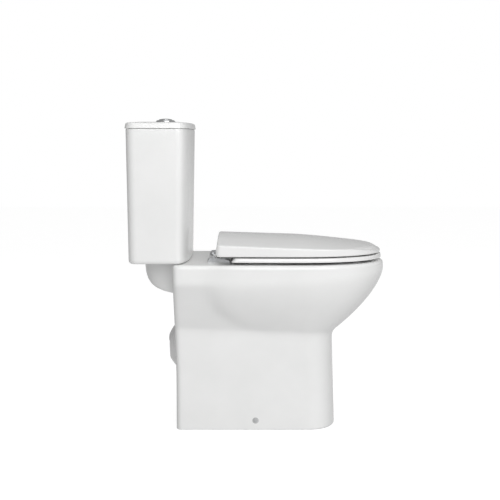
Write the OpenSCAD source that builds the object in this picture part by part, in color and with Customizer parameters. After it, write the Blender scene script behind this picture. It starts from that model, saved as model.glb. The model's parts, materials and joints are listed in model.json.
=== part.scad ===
// Close coupled toilet: pan, cistern with dual flush, soft-close seat and lid.
// X runs from the cistern to the front of the bowl, Y across, Z up from the floor.

/* [Overall] */
// Length from the back of the cistern lid to the front of the rim
overall_length = 608; // [600:1:616]
// Height of the rim and deck above the floor
pan_height = 400; // [396:1:404]

/* [Pan] */
// Width of the bowl at its widest
rim_width = 368; // [360:1:374]
// Length of the pan from its deck edge to the front of the rim
pan_length = 500.5; // [496:0.5:504]
// Width of the foot on the floor
foot_width = 226; // [220:1:232]
// Distance that the foot stands back from the front of the rim
foot_setback = 116; // [108:0.2:120]
// Thickness of the fired ceramic walls
ceramic_wall = 11; // [10:0.5:12]
// Outer radius of the outlet spigot
outlet_r = 51; // [50:0.5:52]
// Height of the outlet centre at its mouth
outlet_z = 181; // [178:1:185]

/* [Cistern] */
// Width of the cistern body at its top edge
cistern_width = 349; // [344:1:354]
// Depth of the cistern body at its top edge
cistern_depth = 148; // [146:1:150]
// Height of the top edge of the cistern body
cistern_top = 711; // [708:1:714]
// Height of the crown of the cistern lid
lid_top = 728; // [726:1:730]
// Thickness of the cistern walls
cistern_wall = 9; // [8:0.5:10]

/* [Flush] */
// Distance of the flush valve from the back of the cistern lid
valve_setback = 82; // [80:1:84]
// Travel of each flush button
button_travel = 6; // [4:0.5:7]
// Lift of the flush piston for a full press
piston_lift = 12; // [8:1:13]
// Distance of the fill valve from the middle of the cistern
fill_offset = 118; // [114:1:122]
// Outer radius of the half inch supply thread
supply_r = 10.475; // [10.4:0.005:10.6]

/* [Seat] */
// Width of the seat and its lid
seat_width = 360; // [356:1:364]
// Height of the hinge axis above the deck
hinge_rise = 15; // [15:0.5:16]
// Distance between the two hinge posts
hinge_spacing = 156; // [154:1:158]
// Rise of the crown of the seat lid above its side edges
lid_crown = 17; // [13:1:18]

/* [Hidden] */
$fn = 64;

front = overall_length / 2;
back = -front;
deck_back = front - pan_length;
rim_w = rim_width / 2;
foot_w = foot_width / 2;
valve_x = back + valve_setback;
deck = pan_height;
tank_floor = deck + 2;
tank_floor_top = tank_floor + 10;
hinge_x = deck_back + 103.5;
hinge_z = deck + hinge_rise;
post_y = hinge_spacing / 2;
stud_x = hinge_x - 10;
bolt_y = 70;
fill_x = valve_x - 6;
fix_x = front - 309.4;
fix_z = 22.6;
bracket_hole_y = 70;
ceramic = "#f3f3f1";
plastic = "#fafaf8";
moulded = "#dfe3e6";
steel = "#b9bcc0";
chrome = "#c9ccd1";
rubber = "#2c2c2e";
brass = "#c6a354";

// Steps along the front curve, the straight side, the rear corner and the rear edge of every outline
curve_steps = 14;
side_steps = 6;
corner_steps = 4;
rear_steps = 4;

// An outline is [rear x, front x, half width, rear half width, rear corner radius,
// roundness exponent, x where the front curve begins, forward bow of the front]
foot_outline = [deck_back + 3, front - foot_setback, foot_w, foot_w, 14, 2.5, front - 192, 0];
knee_outline = [deck_back + 3, front - foot_setback - 3.5, foot_w - 2.5, foot_w - 2.5, 14, 2.5,
  front - 194, 0];
waist_outline = [deck_back - 0.5, front - 123, foot_w - 5, foot_w - 5, 14, 2.5, front - 196, 0];
rim_outline = [deck_back, front, rim_w, rim_w - 5, 14, 2.3, front - 212, 0];
mouth_outline = [deck_back + 134, front - 42, rim_w - 48, rim_w - 74, 70, 2.2, front - 224, 0];
sump_outline = [deck_back + 174, deck_back + 258, 40, 36, 30, 2, deck_back + 216, 0];
tank_outline = [back + 2, back + 2 + cistern_depth, cistern_width / 2, cistern_width / 2, 20, 4,
  back + cistern_depth - 26, 8];
tank_base_outline = [back + 5, back + cistern_depth - 3, cistern_width / 2 - 7,
  cistern_width / 2 - 7, 20, 4, back + cistern_depth - 32, 8];
seat_outline = [hinge_x + 33, front - 5.4, seat_width / 2, seat_width / 2 - 4, 10, 2.3, front - 216, 0];
seat_hole_outline = [hinge_x + 75, front - 68, 116, 96, 74, 2.15, front - 224, 0];
seat_lid_outline = [hinge_x - 4, front - 7.8, seat_width / 2 - 0.5, seat_width / 2 - 4, 10, 2.3,
  front - 216, 0];

function smooth(t) = t * t * (3 - 2 * t);
function power(v, e) = pow(max(v, 0), e);

function inset(s, d) =
  [s[0] + d, s[1] - d, s[2] - d, s[3] - d, max(3, s[4] - d), s[5], s[6], s[7]];

// Points of one side of an outline, from the front tip to the middle of the rear edge
function half_outline(s) = [
  for (i = [0 : curve_steps])
    let (a = 90 * i / curve_steps, y = power(sin(a), 2 / s[5]))
      [s[6] + (s[1] - s[6]) * power(cos(a), 2 / s[5]) - s[7] * y * y, s[2] * y],
  for (i = [1 : side_steps])
    let (t = i / side_steps)
      [s[6] - s[7] + (s[0] + s[4] - s[6] + s[7]) * t, s[2] + (s[3] - s[2]) * smooth(t)],
  for (i = [1 : corner_steps])
    let (a = 90 * i / corner_steps)
      [s[0] + s[4] * (1 - sin(a)), s[3] - s[4] * (1 - cos(a))],
  for (i = [1 : rear_steps])
    [s[0], (s[3] - s[4]) * (1 - i / rear_steps)]
];

function outline(s) =
  let (h = half_outline(s))
    [each h, for (i = [len(h) - 2 : -1 : 1]) [h[i][0], -h[i][1]]];

function flat_ring(s, z) = [for (p = outline(s)) [p[0], p[1], z]];

function shrunk_ring(s, k, cx, z) = [for (p = outline(s)) [cx + (p[0] - cx) * k, p[1] * k, z]];

// Closed solid through rings of equal point counts, capped at both ends or closed on itself
module loft(rings, loop = false) {
  n = len(rings[0]);
  m = len(rings);
  last = loop ? m - 1 : m - 2;
  sides = [
    for (i = [0 : last], j = [0 : n - 1])
      let (k = (j + 1) % n, a = i * n, b = ((i + 1) % m) * n)
        each [[a + j, b + j, b + k], [a + j, b + k, a + k]]
  ];
  caps = loop ? [] : [[for (j = [0 : n - 1]) j], [for (j = [n - 1 : -1 : 0]) (m - 1) * n + j]];
  polyhedron([for (r = rings) each r], concat(sides, caps));
}

// Round bar between two points of the plane Y = 0, given as [x, z]
module bar(a, b, r) {
  d = b - a;
  translate([a[0], 0, a[1]])
    rotate([0, atan2(d[0], d[1]), 0])
      cylinder(h = norm(d), r = r);
}

module ball(p, r) {
  translate([p[0], 0, p[1]]) sphere(r = r);
}

module tube(outer, inner, low, high) {
  translate([0, 0, low])
    difference() {
      cylinder(h = high - low, r = outer);
      translate([0, 0, -1]) cylinder(h = high - low + 2, r = inner);
    }
}

module disc(r, low, high) {
  translate([0, 0, low]) cylinder(h = high - low, r = r);
}

module both_sides(y) {
  for (side = [-1, 1]) translate([0, side * y, 0]) children();
}

module hex_nut(r, bore, low, high) {
  translate([0, 0, low])
    difference() {
      cylinder(h = high - low, r = r, $fn = 6);
      translate([0, 0, -1]) cylinder(h = high - low + 2, r = bore);
    }
}

// Nut with two upright wings that point across X
module wing_nut(r, bore, low, high, span) {
  translate([0, 0, low])
    difference() {
      union() {
        cylinder(h = high - low, r = r);
        for (side = [-1, 1])
          translate([side * (r + span) / 2, 0, (high - low) / 2])
            cube([span - r + 3, 3.2, high - low], center = true);
      }
      translate([0, 0, -1]) cylinder(h = high - low + 2, r = bore);
    }
}

// ---- Pan ----

crease_low_rear = 241;
crease_low_front = 221;
crease_high_rear = deck - 45;
crease_high_front = deck - 23;
bowl_depth = 190;
mouth_z = deck - 9;
deck_thickness = 13;
flare_steps = 8;

function along_pan(x) = max(0, min(1, (x - deck_back) / pan_length));
function crease_low(x) = crease_low_rear + (crease_low_front - crease_low_rear) * along_pan(x);
function crease_high(x) =
  crease_high_rear + (crease_high_front - crease_high_rear) * pow(along_pan(x), 2);

// Ring of the flare between the foot and the bowl's side, u from 0 at the foot to 1 at the side
function flare_ring(u, wall) =
  let (
    f = 1 - pow(1 - u, 1.44),
    s = inset(waist_outline + (rim_outline - waist_outline) * f, wall)
  )
    [for (p = outline(s)) [p[0], p[1], crease_low(p[0]) + u * (crease_high(p[0]) - crease_low(p[0]))]];

// Ring of the bowl, t from 0 at its mouth to 1 at the sump; wall moves it outwards and down
function bowl_ring(t, wall) =
  let (s = mouth_outline + (sump_outline - mouth_outline) * pow(t, 2.1))
    flat_ring(inset(s, -wall), mouth_z - bowl_depth * t - wall * t);

bowl_stations = [0.1, 0.26, 0.42, 0.58, 0.72, 0.84, 0.93, 1];

module pan_shell() {
  n = len(bowl_stations);
  loft([
    for (i = [n - 1 : -1 : 0]) bowl_ring(bowl_stations[i], 10),
    flat_ring(inset(mouth_outline, -10), deck - deck_thickness),
    flat_ring(inset(rim_outline, ceramic_wall + 1), deck - deck_thickness),
    for (i = [flare_steps - 1 : -2 : 0]) flare_ring(i / flare_steps, ceramic_wall + 2),
    flat_ring(inset(waist_outline, ceramic_wall), 190),
    flat_ring(inset(foot_outline, ceramic_wall), 0),
    flat_ring(inset(foot_outline, 1), 0),
    flat_ring(foot_outline, 1.5),
    flat_ring(knee_outline, 125),
    for (i = [0 : flare_steps]) flare_ring(i / flare_steps, 0),
    flat_ring(rim_outline, deck - 10),
    flat_ring(inset(rim_outline, 1), deck - 5.6),
    flat_ring(inset(rim_outline, 3.7), deck - 2.2),
    flat_ring(inset(rim_outline, 9), deck),
    flat_ring(inset(mouth_outline, -8), deck),
    flat_ring(inset(mouth_outline, -2), deck - 3),
    flat_ring(mouth_outline, mouth_z),
    for (t = bowl_stations) bowl_ring(t, 0)
  ]);
}

// Ledge behind the deck that carries the cistern: a side profile cut to a round-nosed plan
module cistern_ledge() {
  nose = deck_back - 74;
  profile = [
    [deck_back + 6, deck], [nose + 4, deck], [nose, deck - 5], [nose + 2, deck - 28],
    [nose + 7, deck - 44], [nose + 16, deck - 56], [nose + 28, deck - 64],
    [nose + 46, deck - 70], [deck_back + 6, deck - 78]
  ];
  intersection() {
    rotate([90, 0, 0])
      translate([0, 0, -100])
        linear_extrude(200) polygon(profile);
    translate([0, 0, deck - 90])
      linear_extrude(90)
        union() {
          translate([deck_back - 20, -92]) square([30, 184]);
          translate([deck_back - 20, 38]) circle(r = 54);
          translate([deck_back - 20, -38]) circle(r = 54);
          translate([deck_back - 73, -40]) square([60, 80]);
        }
  }
}

trap_sump = [deck_back + 216, 158];
trap_weir = [deck_back + 116, 224];
trap_drop = [deck_back + 68, 187];
outlet_tilt = 4.5;
outlet_reach = 87;
outlet_bore = 28;
outlet_dome_r = 60;
outlet_mouth = [trap_drop[0] - outlet_reach * cos(outlet_tilt), outlet_z];

// Spigot with a domed lip; the lip's section runs from the bore out to the full radius
module outlet_spigot() {
  straight = 46;
  wall = outlet_r - outlet_bore;
  dome = [
    for (t = [0 : 0.1 : 1.01])
      let (r = outlet_bore + wall * t) [r, (r * r - outlet_bore * outlet_bore) / 2 / outlet_dome_r]
  ];
  lip = dome[10][1];
  translate([outlet_mouth[0], 0, outlet_mouth[1]])
    rotate([0, 90 - outlet_tilt, 0])
      rotate_extrude()
        polygon([
          [outlet_bore - 2, lip + straight], [outlet_bore - 2, 0], each dome,
          [outlet_r, lip + straight]
        ]);
}

module trap_walls() {
  disc_x = trap_sump[0];
  translate([disc_x, 0, 0]) disc(38, trap_sump[1], 200);
  bar(trap_sump, trap_weir, 37);
  bar(trap_weir, trap_drop, 37.5);
  bar(trap_drop, trap_drop + [-50, -3.5], 36);
  ball(trap_sump, 39);
  ball(trap_weir, 39);
  ball(trap_drop, 39);
  outlet_spigot();
}

module trap_bore() {
  translate([trap_sump[0], 0, 0]) disc(30, trap_sump[1], 215);
  bar(trap_sump, trap_weir, 29.5);
  bar(trap_weir, trap_drop, 29);
  bar(trap_drop, trap_drop + [-60, -4.5], 29.2);
  ball(trap_sump, 31);
  ball(trap_weir, 31);
  ball(trap_drop, 31);
  translate([outlet_mouth[0], 0, outlet_mouth[1]])
    rotate([0, 90 - outlet_tilt, 0])
      translate([0, 0, -1]) cylinder(h = 60, r = outlet_bore);
}

// Hollow between the two side walls of the foot, open at the back of the pan
module rear_opening() {
  translate([deck_back - 10, 0, 0])
    rotate([90, 0, 90])
      linear_extrude(40)
        union() {
          translate([-84, -1]) square([168, 261]);
          translate([-54, -1]) square([108, 291]);
          translate([-54, 260]) circle(r = 30);
          translate([54, 260]) circle(r = 30);
        }
}

inlet_r = 42;
inlet_depth = 22;
duct_z = deck - 30;

module pan() {
  color(ceramic)
  difference() {
    union() {
      difference() {
        pan_shell();
        rear_opening();
      }
      cistern_ledge();
      trap_walls();
      bar([deck_back + 4, duct_z], [mouth_outline[0] - 3, duct_z], 26);
    }
    trap_bore();
    translate([valve_x, 0, 0]) disc(inlet_r, deck - inlet_depth, deck + 1);
    translate([valve_x, 0, 0]) disc(27, deck - 40, deck);
    bar([valve_x, duct_z - 1], [mouth_outline[0] + 12, duct_z - 1], 17);
    both_sides(bolt_y) translate([valve_x, 0, 0]) {
      disc(5, deck - 90, deck + 1);
      disc(17, deck - 90, ledge_under);
    }
    both_sides(post_y) translate([stud_x, 0, 0]) disc(7, deck - 20, deck + 1);
    for (side = [-1, 1])
      translate([fix_x, side * (foot_w - 13), fix_z])
        rotate([-side * 90, 0, 0]) {
          translate([0, 0, -2]) cylinder(h = 20, r = 5);
          translate([0, 0, 10.4]) cylinder(h = 6, r = 8);
        }
  }
}

// ---- Cistern ----

module cistern_tank() {
  color(ceramic)
  difference() {
    loft([
      flat_ring(inset(tank_base_outline, 12), tank_floor),
      flat_ring(inset(tank_base_outline, 5), tank_floor + 1.8),
      flat_ring(inset(tank_base_outline, 1.4), tank_floor + 6),
      flat_ring(tank_base_outline, tank_floor + 13),
      flat_ring(inset(tank_outline, 0.3), cistern_top - 2),
      flat_ring(inset(tank_outline, 1.5), cistern_top),
      flat_ring(inset(tank_outline, cistern_wall), cistern_top),
      flat_ring(inset(tank_base_outline, cistern_wall), tank_floor_top + 14),
      flat_ring(inset(tank_base_outline, cistern_wall + 4), tank_floor_top + 3),
      flat_ring(inset(tank_base_outline, cistern_wall + 10), tank_floor_top)
    ]);
    translate([valve_x, 0, 0]) disc(25, tank_floor - 5, tank_floor_top + 5);
    both_sides(bolt_y) translate([valve_x, 0, 0]) disc(5, tank_floor - 5, tank_floor_top + 5);
    translate([fill_x, fill_offset, 0]) disc(11, tank_floor - 5, tank_floor_top + 5);
  }
}

lid_outline = inset(tank_outline, -2.4);
lid_seam = cistern_top + 0.6;
lid_ceiling = lid_top - 12;
lid_centre = back + 78;
barrel_r = 19;

module cistern_lid() {
  lip = inset(tank_outline, cistern_wall + 2.5);
  color(ceramic)
  difference() {
    loft([
      flat_ring(inset(lip, 8), lid_ceiling),
      flat_ring(inset(lip, 7), cistern_top - 7),
      flat_ring(lip, cistern_top - 7),
      flat_ring(lip, lid_seam),
      flat_ring(inset(lid_outline, 1.2), lid_seam),
      flat_ring(lid_outline, lid_seam + 1.6),
      flat_ring(inset(lid_outline, 1.2), lid_top - 11.6),
      flat_ring(inset(lid_outline, 2.2), lid_top - 7.6),
      flat_ring(inset(lid_outline, 4), lid_top - 4.1),
      flat_ring(inset(lid_outline, 8), lid_top - 2.7),
      shrunk_ring(inset(lid_outline, 8), 0.82, lid_centre, lid_top - 1.2),
      shrunk_ring(inset(lid_outline, 8), 0.6, lid_centre, lid_top - 0.4),
      shrunk_ring(inset(lid_outline, 8), 0.4, lid_centre, lid_top)
    ]);
    translate([valve_x, 0, 0]) disc(barrel_r + 0.5, lid_ceiling - 5, lid_top + 1);
  }
}

// ---- Flush buttons, which ride on the cistern lid ----

bezel_r = 23.5;
bezel_edge = 5.4;
bezel_top = lid_top + bezel_edge;
button_top = lid_top + 9;
well_r = 16.6;
web_low = lid_top - 33;
web_high = lid_top - 30;
button_low = lid_top - 13;
button_split = -3;
rod_hole_r = 3.4;
full_rod_y = 7.5;
half_rod_y = -9.5;

module button_bezel() {
  color(chrome)
  translate([valve_x, 0, 0])
    difference() {
      union() {
        rotate_extrude()
          union() {
            translate([0, lid_top]) square([bezel_r - bezel_edge, bezel_top - lid_top]);
            intersection() {
              translate([bezel_r - bezel_edge, lid_top]) circle(r = bezel_edge);
              translate([bezel_r - bezel_edge, lid_top]) square(bezel_edge);
            }
          }
        disc(barrel_r, web_low, lid_top + 1);
      }
      disc(well_r, web_high, bezel_top + 1);
      for (y = [full_rod_y, half_rod_y])
        translate([0, y, 0]) disc(rod_hole_r, web_low - 1, web_high + 1);
    }
}

module button_backnut() {
  color(moulded)
  translate([valve_x, 0, 0])
    difference() {
      union() {
        disc(26, lid_ceiling - 4, lid_ceiling);
        hex_nut(24, barrel_r, lid_ceiling - 12, lid_ceiling - 4);
      }
      disc(barrel_r, lid_ceiling - 13, lid_ceiling + 1);
    }
}

// Domed plug that fills the bezel's well, cut to one side of the split between the buttons
module button_plug(low_y, high_y) {
  crown_r = 60;
  translate([valve_x, 0, 0])
    difference() {
      intersection() {
        disc(well_r - 0.35, button_low, button_top);
        translate([0, 0, button_top - crown_r]) sphere(r = crown_r);
        translate([-20, low_y, button_low - 1]) cube([40, high_y - low_y, 30]);
      }
      translate([0, 0, button_low - 1]) children();
    }
}

module full_flush_button() {
  color(chrome)
  button_plug(button_split + 0.25, 20)
    translate([0, full_rod_y, 0]) cylinder(h = 7, r = 2.5);
}

module half_flush_button() {
  color(chrome)
  button_plug(-20, button_split - 0.25)
    translate([0, half_rod_y, 0]) cylinder(h = 7, r = 2.5);
}

tower_top = deck + 268;
rod_low = tower_top - 22 + button_travel;

module full_flush_rod() {
  color(moulded)
  translate([valve_x, full_rod_y, 0]) disc(2.5, rod_low, button_low + 6);
}

module half_flush_rod() {
  color(moulded)
  translate([valve_x, half_rod_y, 0]) disc(2.5, rod_low, button_low + 6);
}

spring_wire = 0.45;
spring_turns = 5;
spring_sides = 6;
spring_segments = 12;

// Coil of round wire standing between two heights
module coil(r, low, high) {
  steps = spring_turns * spring_segments;
  loft([
    for (i = [0 : steps])
      let (a = 360 * i / spring_segments, z = low + (high - low) * i / steps)
        [
          for (j = [0 : spring_sides - 1])
            let (b = -360 * j / spring_sides, q = r + spring_wire * cos(b))
              [q * cos(a), q * sin(a), z + spring_wire * sin(b)]
        ]
  ]);
}

module full_button_spring() {
  color(steel)
  translate([valve_x, full_rod_y, 0]) coil(4.6, web_high + spring_wire, button_low - spring_wire);
}

module half_button_spring() {
  color(steel)
  translate([valve_x, half_rod_y, 0]) coil(4.6, web_high + spring_wire, button_low - spring_wire);
}

// ---- Flush valve ----

valve_flange = tank_floor_top + 3;
seat_level = valve_flange + 5;
tail_r = 23.9;
cage_top = seat_level + 52;
piston_r = 14;

module flush_valve_base() {
  color(moulded)
  translate([valve_x, 0, 0])
    difference() {
      union() {
        disc(tail_r, tank_floor - 18, valve_flange + 1);
        disc(36, valve_flange, valve_flange + 3);
        disc(30, valve_flange, seat_level);
        for (a = [45 : 90 : 315])
          rotate([0, 0, a])
            translate([29, -3, valve_flange]) cube([5, 6, cage_top - valve_flange]);
        disc(34, cage_top, cage_top + 8);
      }
      disc(19.5, tank_floor - 19, seat_level + 1);
      disc(piston_r + 1, cage_top - 1, cage_top + 9);
    }
}

module flush_valve_tower() {
  low = cage_top + 8;
  color("#3f7fc0")
  translate([valve_x, 0, 0])
    difference() {
      union() {
        disc(30, low, tower_top - 30);
        disc(33, low, low + 6);
        disc(24, tower_top - 31, tower_top);
      }
      disc(26, low - 1, tower_top - 34);
      for (y = [full_rod_y, half_rod_y])
        translate([0, y, 0]) disc(rod_hole_r + 0.4, tower_top - 28, tower_top + 1);
      for (a = [0, 180])
        rotate([0, 0, a]) translate([20, -8, low + 20]) cube([14, 16, 120]);
    }
}

module flush_valve_washer() {
  color(rubber)
  translate([valve_x, 0, 0]) tube(34, 24.5, tank_floor_top, valve_flange);
}

module flush_valve_backnut() {
  color(moulded)
  translate([valve_x, 0, 0]) hex_nut(31, tail_r, tank_floor - 9, tank_floor);
}

module coupling_gasket() {
  color(rubber)
  translate([valve_x, 0, 0])
    difference() {
      tube(inlet_r - 1, tail_r + 0.5, deck - inlet_depth, tank_floor);
      disc(31.6, tank_floor - 9.5, tank_floor + 1);
    }
}

piston_top = tower_top - 36 - piston_lift;

module flush_piston() {
  color("#d9dee2")
  translate([valve_x, 0, 0])
    difference() {
      union() {
        disc(piston_r, seat_level + 3, piston_top);
        disc(27, seat_level + 3, seat_level + 6);
        disc(piston_r + 4, seat_level + 6, seat_level + 14);
      }
      disc(piston_r - 2.5, seat_level + 2, piston_top + 1);
    }
}

module flush_seal() {
  color("#b5443a")
  translate([valve_x, 0, 0]) tube(27.5, piston_r - 2, seat_level + 0.3, seat_level + 3);
}

// ---- Cistern to pan fixings ----

bolt_tip = deck - 46;
ledge_under = deck - 22;

module cistern_bolts() {
  color(brass)
  both_sides(bolt_y) translate([valve_x, 0, 0]) {
    disc(3.9, bolt_tip, tank_floor_top + 5);
    disc(9, tank_floor_top + 3, tank_floor_top + 8);
  }
}

module bolt_washers() {
  color(rubber)
  both_sides(bolt_y) translate([valve_x, 0, 0]) tube(12, 4, tank_floor_top, tank_floor_top + 3);
}

module cistern_pads() {
  color(rubber)
  both_sides(bolt_y) translate([valve_x, 0, 0]) tube(14, 4.2, deck, tank_floor);
}

module cistern_wing_nuts() {
  color(brass)
  both_sides(bolt_y) translate([valve_x, 0, 0]) {
    tube(11, 4, ledge_under - 2, ledge_under);
    wing_nut(7, 3.9, ledge_under - 12, ledge_under - 2, 15);
  }
}

// ---- Fill valve ----

riser_r = 8;
shank_r = supply_r - 0.475;
fill_top = deck + 240;
lever_x = 14;
lever_reach = 26;
link_x = lever_x + lever_reach;

module fill_valve_body() {
  color(moulded)
  translate([fill_x, fill_offset, 0])
    difference() {
      union() {
        disc(supply_r, deck - 46, tank_floor - 11);
        disc(shank_r, tank_floor - 12, valve_flange + 1);
        disc(16, valve_flange, valve_flange + 4);
        disc(riser_r, valve_flange, fill_top);
      }
      disc(5, deck - 47, fill_top - 10);
    }
}

module fill_valve_washer() {
  color(rubber)
  translate([fill_x, fill_offset, 0]) tube(16, 10.8, tank_floor_top, valve_flange);
}

module fill_valve_backnut() {
  color(moulded)
  translate([fill_x, fill_offset, 0]) hex_nut(17, shank_r, tank_floor - 9, tank_floor);
}

module fill_valve_head() {
  color(plastic)
  translate([fill_x, fill_offset, 0])
    difference() {
      union() {
        disc(14, fill_top - 12, fill_top + 22);
        for (y = [-9, 5])
          translate([10, y, fill_top + 8]) cube([12, 4, 12]);
      }
      disc(riser_r, fill_top - 13, fill_top);
      translate([lever_x - 4.6, -5, fill_top + 9]) cube([8, 10, 14]);
      translate([lever_x, -10, fill_top + 15])
        rotate([-90, 0, 0]) cylinder(h = 22, r = 1.5);
    }
}

module fill_float() {
  color("#4a4d52")
  translate([fill_x, fill_offset, 0])
    difference() {
      union() {
        disc(24, fill_top - 78, fill_top - 34);
        translate([20, -3, fill_top - 38]) cube([link_x - 17, 6, 4]);
        translate([link_x, 0, 0]) disc(1.5, fill_top - 36, fill_top + 20);
      }
      disc(riser_r + 0.8, fill_top - 79, fill_top - 33);
      difference() {
        disc(21.5, fill_top - 79, fill_top - 38);
        disc(riser_r + 3, fill_top - 80, fill_top - 37);
      }
    }
}

module fill_lever() {
  color(plastic)
  translate([fill_x + lever_x, fill_offset, fill_top + 15])
    difference() {
      union() {
        rotate([90, 0, 0]) translate([0, 0, -4.6]) cylinder(h = 9.2, r = 3);
        rotate([90, 0, 0]) translate([0, 0, -9.4]) cylinder(h = 18.8, r = 1.44);
        translate([0, -4, -2]) cube([lever_reach + 7, 8, 4]);
      }
      translate([lever_reach - 4.5, -2.2, -3]) cube([8, 4.4, 6]);
    }
}

// ---- Seat ----

seat_low = deck + 6;
seat_high = deck + 16;
knuckle_r = 8;
damper_r = 5.5;
pin_r = 4;
knuckle_width = 16;
knuckle_gap = 5;

// Round bar along Y about the hinge axis, between two distances from the middle
module hinge_bar(r, from, to) {
  for (side = [-1, 1])
    translate([hinge_x, side * (from + to) / 2, hinge_z])
      rotate([90, 0, 0])
        translate([0, 0, (from - to) / 2]) cylinder(h = to - from, r = r);
}

seat_knuckle = post_y - knuckle_gap - knuckle_width;
lid_knuckle = post_y + knuckle_gap;

module seat_ring() {
  edge = [[1.8, 0], [0.4, 1], [0, 2.6], [0.3, 8], [1.8, 9.5], [9, 10]];
  color(plastic)
  difference() {
    union() {
      loft([
        for (e = edge) flat_ring(inset(seat_outline, e[0]), seat_low + e[1]),
        for (i = [5 : -1 : 0]) flat_ring(inset(seat_hole_outline, -edge[i][0]), seat_low + edge[i][1])
      ], loop = true);
      hinge_bar(knuckle_r, seat_knuckle, seat_knuckle + knuckle_width);
      for (side = [-1, 1])
        translate([hinge_x, side * (seat_knuckle + knuckle_width / 2), seat_low + 5])
          translate([0, -knuckle_width / 2, -3]) cube([40, knuckle_width, 7]);
    }
    hinge_bar(damper_r, seat_knuckle - 1, seat_knuckle + knuckle_width + 1);
  }
}

bumper_places = [[front - 40, 62], [hinge_x + 75, 142]];

module seat_bumpers() {
  color(moulded)
  for (p = bumper_places, side = [-1, 1])
    translate([p[0], side * p[1], 0]) {
      disc(8, deck + 0.3, seat_low);
    }
}

seat_lid_low = seat_high + 3;
hinge_notch = 5.5;
lid_edge_rear = deck + 44.5;
lid_edge_front = deck + 32;
lid_skin = 4.5;

function lid_half_width(x) =
  let (u = max(0, (x - seat_lid_outline[6]) / (seat_lid_outline[1] - seat_lid_outline[6])))
    max(1, seat_lid_outline[2] * power(1 - pow(u, seat_lid_outline[5]), 1 / seat_lid_outline[5]));

// Height of the side edge of the seat lid, which falls towards the front
function lid_edge(x) =
  lid_edge_rear + (lid_edge_front - lid_edge_rear) * (x - hinge_x) / (front - hinge_x);

function lid_surface(x, y) =
  let (
    u = max(0, min(1, (x - seat_lid_outline[6]) / (seat_lid_outline[1] - seat_lid_outline[6]))),
    v = min(1, abs(y) / lid_half_width(x))
  )
    lid_edge(x) + lid_crown * (1 - pow(u, 1.4)) * (1 - v * v);

// Ring on the crown of the seat lid, shrunk towards the middle and lowered by a distance
function crown_ring(s, k, drop) =
  let (cx = s[6] - 20)
    [
      for (p = outline(s))
        let (x = cx + (p[0] - cx) * k, y = p[1] * k) [x, y, lid_surface(x, y) - drop]
    ];

// Bottom edge of the seat lid, which is cut up between its rear corners to clear the hinges
function skirt_ring(s) = [
  for (p = outline(s))
    [p[0], p[1], seat_lid_low + (p[0] < hinge_x + 12 && abs(p[1]) < 120 ? hinge_notch : 0)]
];

module seat_lid() {
  s = seat_lid_outline;
  cx = s[6] - 20;
  color(plastic)
  difference() {
    union() {
      loft([
        shrunk_ring(s, 0.04, cx, lid_surface(cx, 0) - lid_skin),
        for (k = [0.3, 0.55, 0.78, 0.92]) crown_ring(inset(s, lid_skin), k, lid_skin),
        crown_ring(inset(s, lid_skin), 1, lid_skin + 4),
        skirt_ring(inset(s, lid_skin)),
        skirt_ring(inset(s, 1)),
        [for (p = skirt_ring(s)) p + [0, 0, 2]],
        crown_ring(s, 1, 6),
        crown_ring(inset(s, 1.4), 1, 2.4),
        crown_ring(inset(s, 5), 1, 0.4),
        for (k = [0.92, 0.78, 0.55, 0.3]) crown_ring(inset(s, 5), k, 0),
        shrunk_ring(s, 0.04, cx, lid_surface(cx, 0))
      ]);
      hinge_bar(knuckle_r, lid_knuckle, lid_knuckle + knuckle_width);
      for (side = [-1, 1])
        translate([hinge_x - 3.6, side * (lid_knuckle + knuckle_width / 2) - knuckle_width / 2, hinge_z])
          cube([11, knuckle_width, 26]);
      for (p = bumper_places, side = [-1, 1])
        translate([p[0] - 6, side * (p[1] + 10), 0])
          disc(7, seat_lid_low, lid_surface(p[0] - 6, p[1] + 10) - 2.5);
    }
    hinge_bar(damper_r, lid_knuckle - 1, lid_knuckle + knuckle_width + 1);
  }
}

module lid_bumpers() {
  color(moulded)
  for (p = bumper_places, side = [-1, 1])
    translate([p[0] - 6, side * (p[1] + 10), 0]) disc(6, seat_high + 0.3, seat_lid_low);
}

// ---- Seat hinges ----

plate_top = deck + 4;
post_width = 8;

// Side profile of the cheek that hides the lid's knuckle from outside
cheek_profile = [
  [stud_x - 14, deck], [stud_x - 14, deck + 6.5], [stud_x - 11.5, deck + 8.8],
  [stud_x + 21, deck + 8.8], [stud_x + 27, deck + 7.6], [stud_x + 33, deck + 5.2],
  [stud_x + 38, deck + 2.6], [stud_x + 38, deck]
];
cheek_y = post_y + 23.5;
cheek_width = 3;

module hinge_bases() {
  color(chrome)
  difference() {
    union() {
      for (side = [-1, 1]) {
        translate([stud_x, side * post_y, deck])
          linear_extrude(4)
            union() {
              translate([-16, -15]) square([52, 30]);
              translate([-6, -25]) square([32, 50]);
              for (x = [-6, 26], y = [-15, 15]) translate([x, y]) circle(r = 10);
            }
        translate([stud_x - 15, side * post_y - 20, plate_top - 1])
          cube([15.5, 40, 4.5]);
        translate([0, side * cheek_y + cheek_width / 2, 0])
          rotate([90, 0, 0])
            linear_extrude(cheek_width) polygon(cheek_profile);
        translate([hinge_x - 6, side * post_y - post_width / 2, plate_top - 1])
          cube([12, post_width, hinge_rise - 3]);
      }
      hinge_bar(7.5, post_y - post_width / 2, post_y + post_width / 2);
    }
    hinge_bar(pin_r, post_y - post_width / 2 - 1, post_y + post_width / 2 + 1);
    both_sides(post_y) translate([stud_x, 0, 0]) disc(4, deck - 1, deck + 3);
  }
}

module hinge_pins() {
  color(steel)
  hinge_bar(pin_r, seat_knuckle + 1, lid_knuckle + knuckle_width - 1);
}

// Damped sleeves pressed into the knuckles, which turn on the pins
module damper_sleeve(from) {
  difference() {
    hinge_bar(damper_r, from + 1, from + knuckle_width - 0.5);
    hinge_bar(pin_r + 0.05, from, from + knuckle_width + 1);
  }
}

module seat_dampers() {
  color("#54585d") damper_sleeve(seat_knuckle);
}

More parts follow.
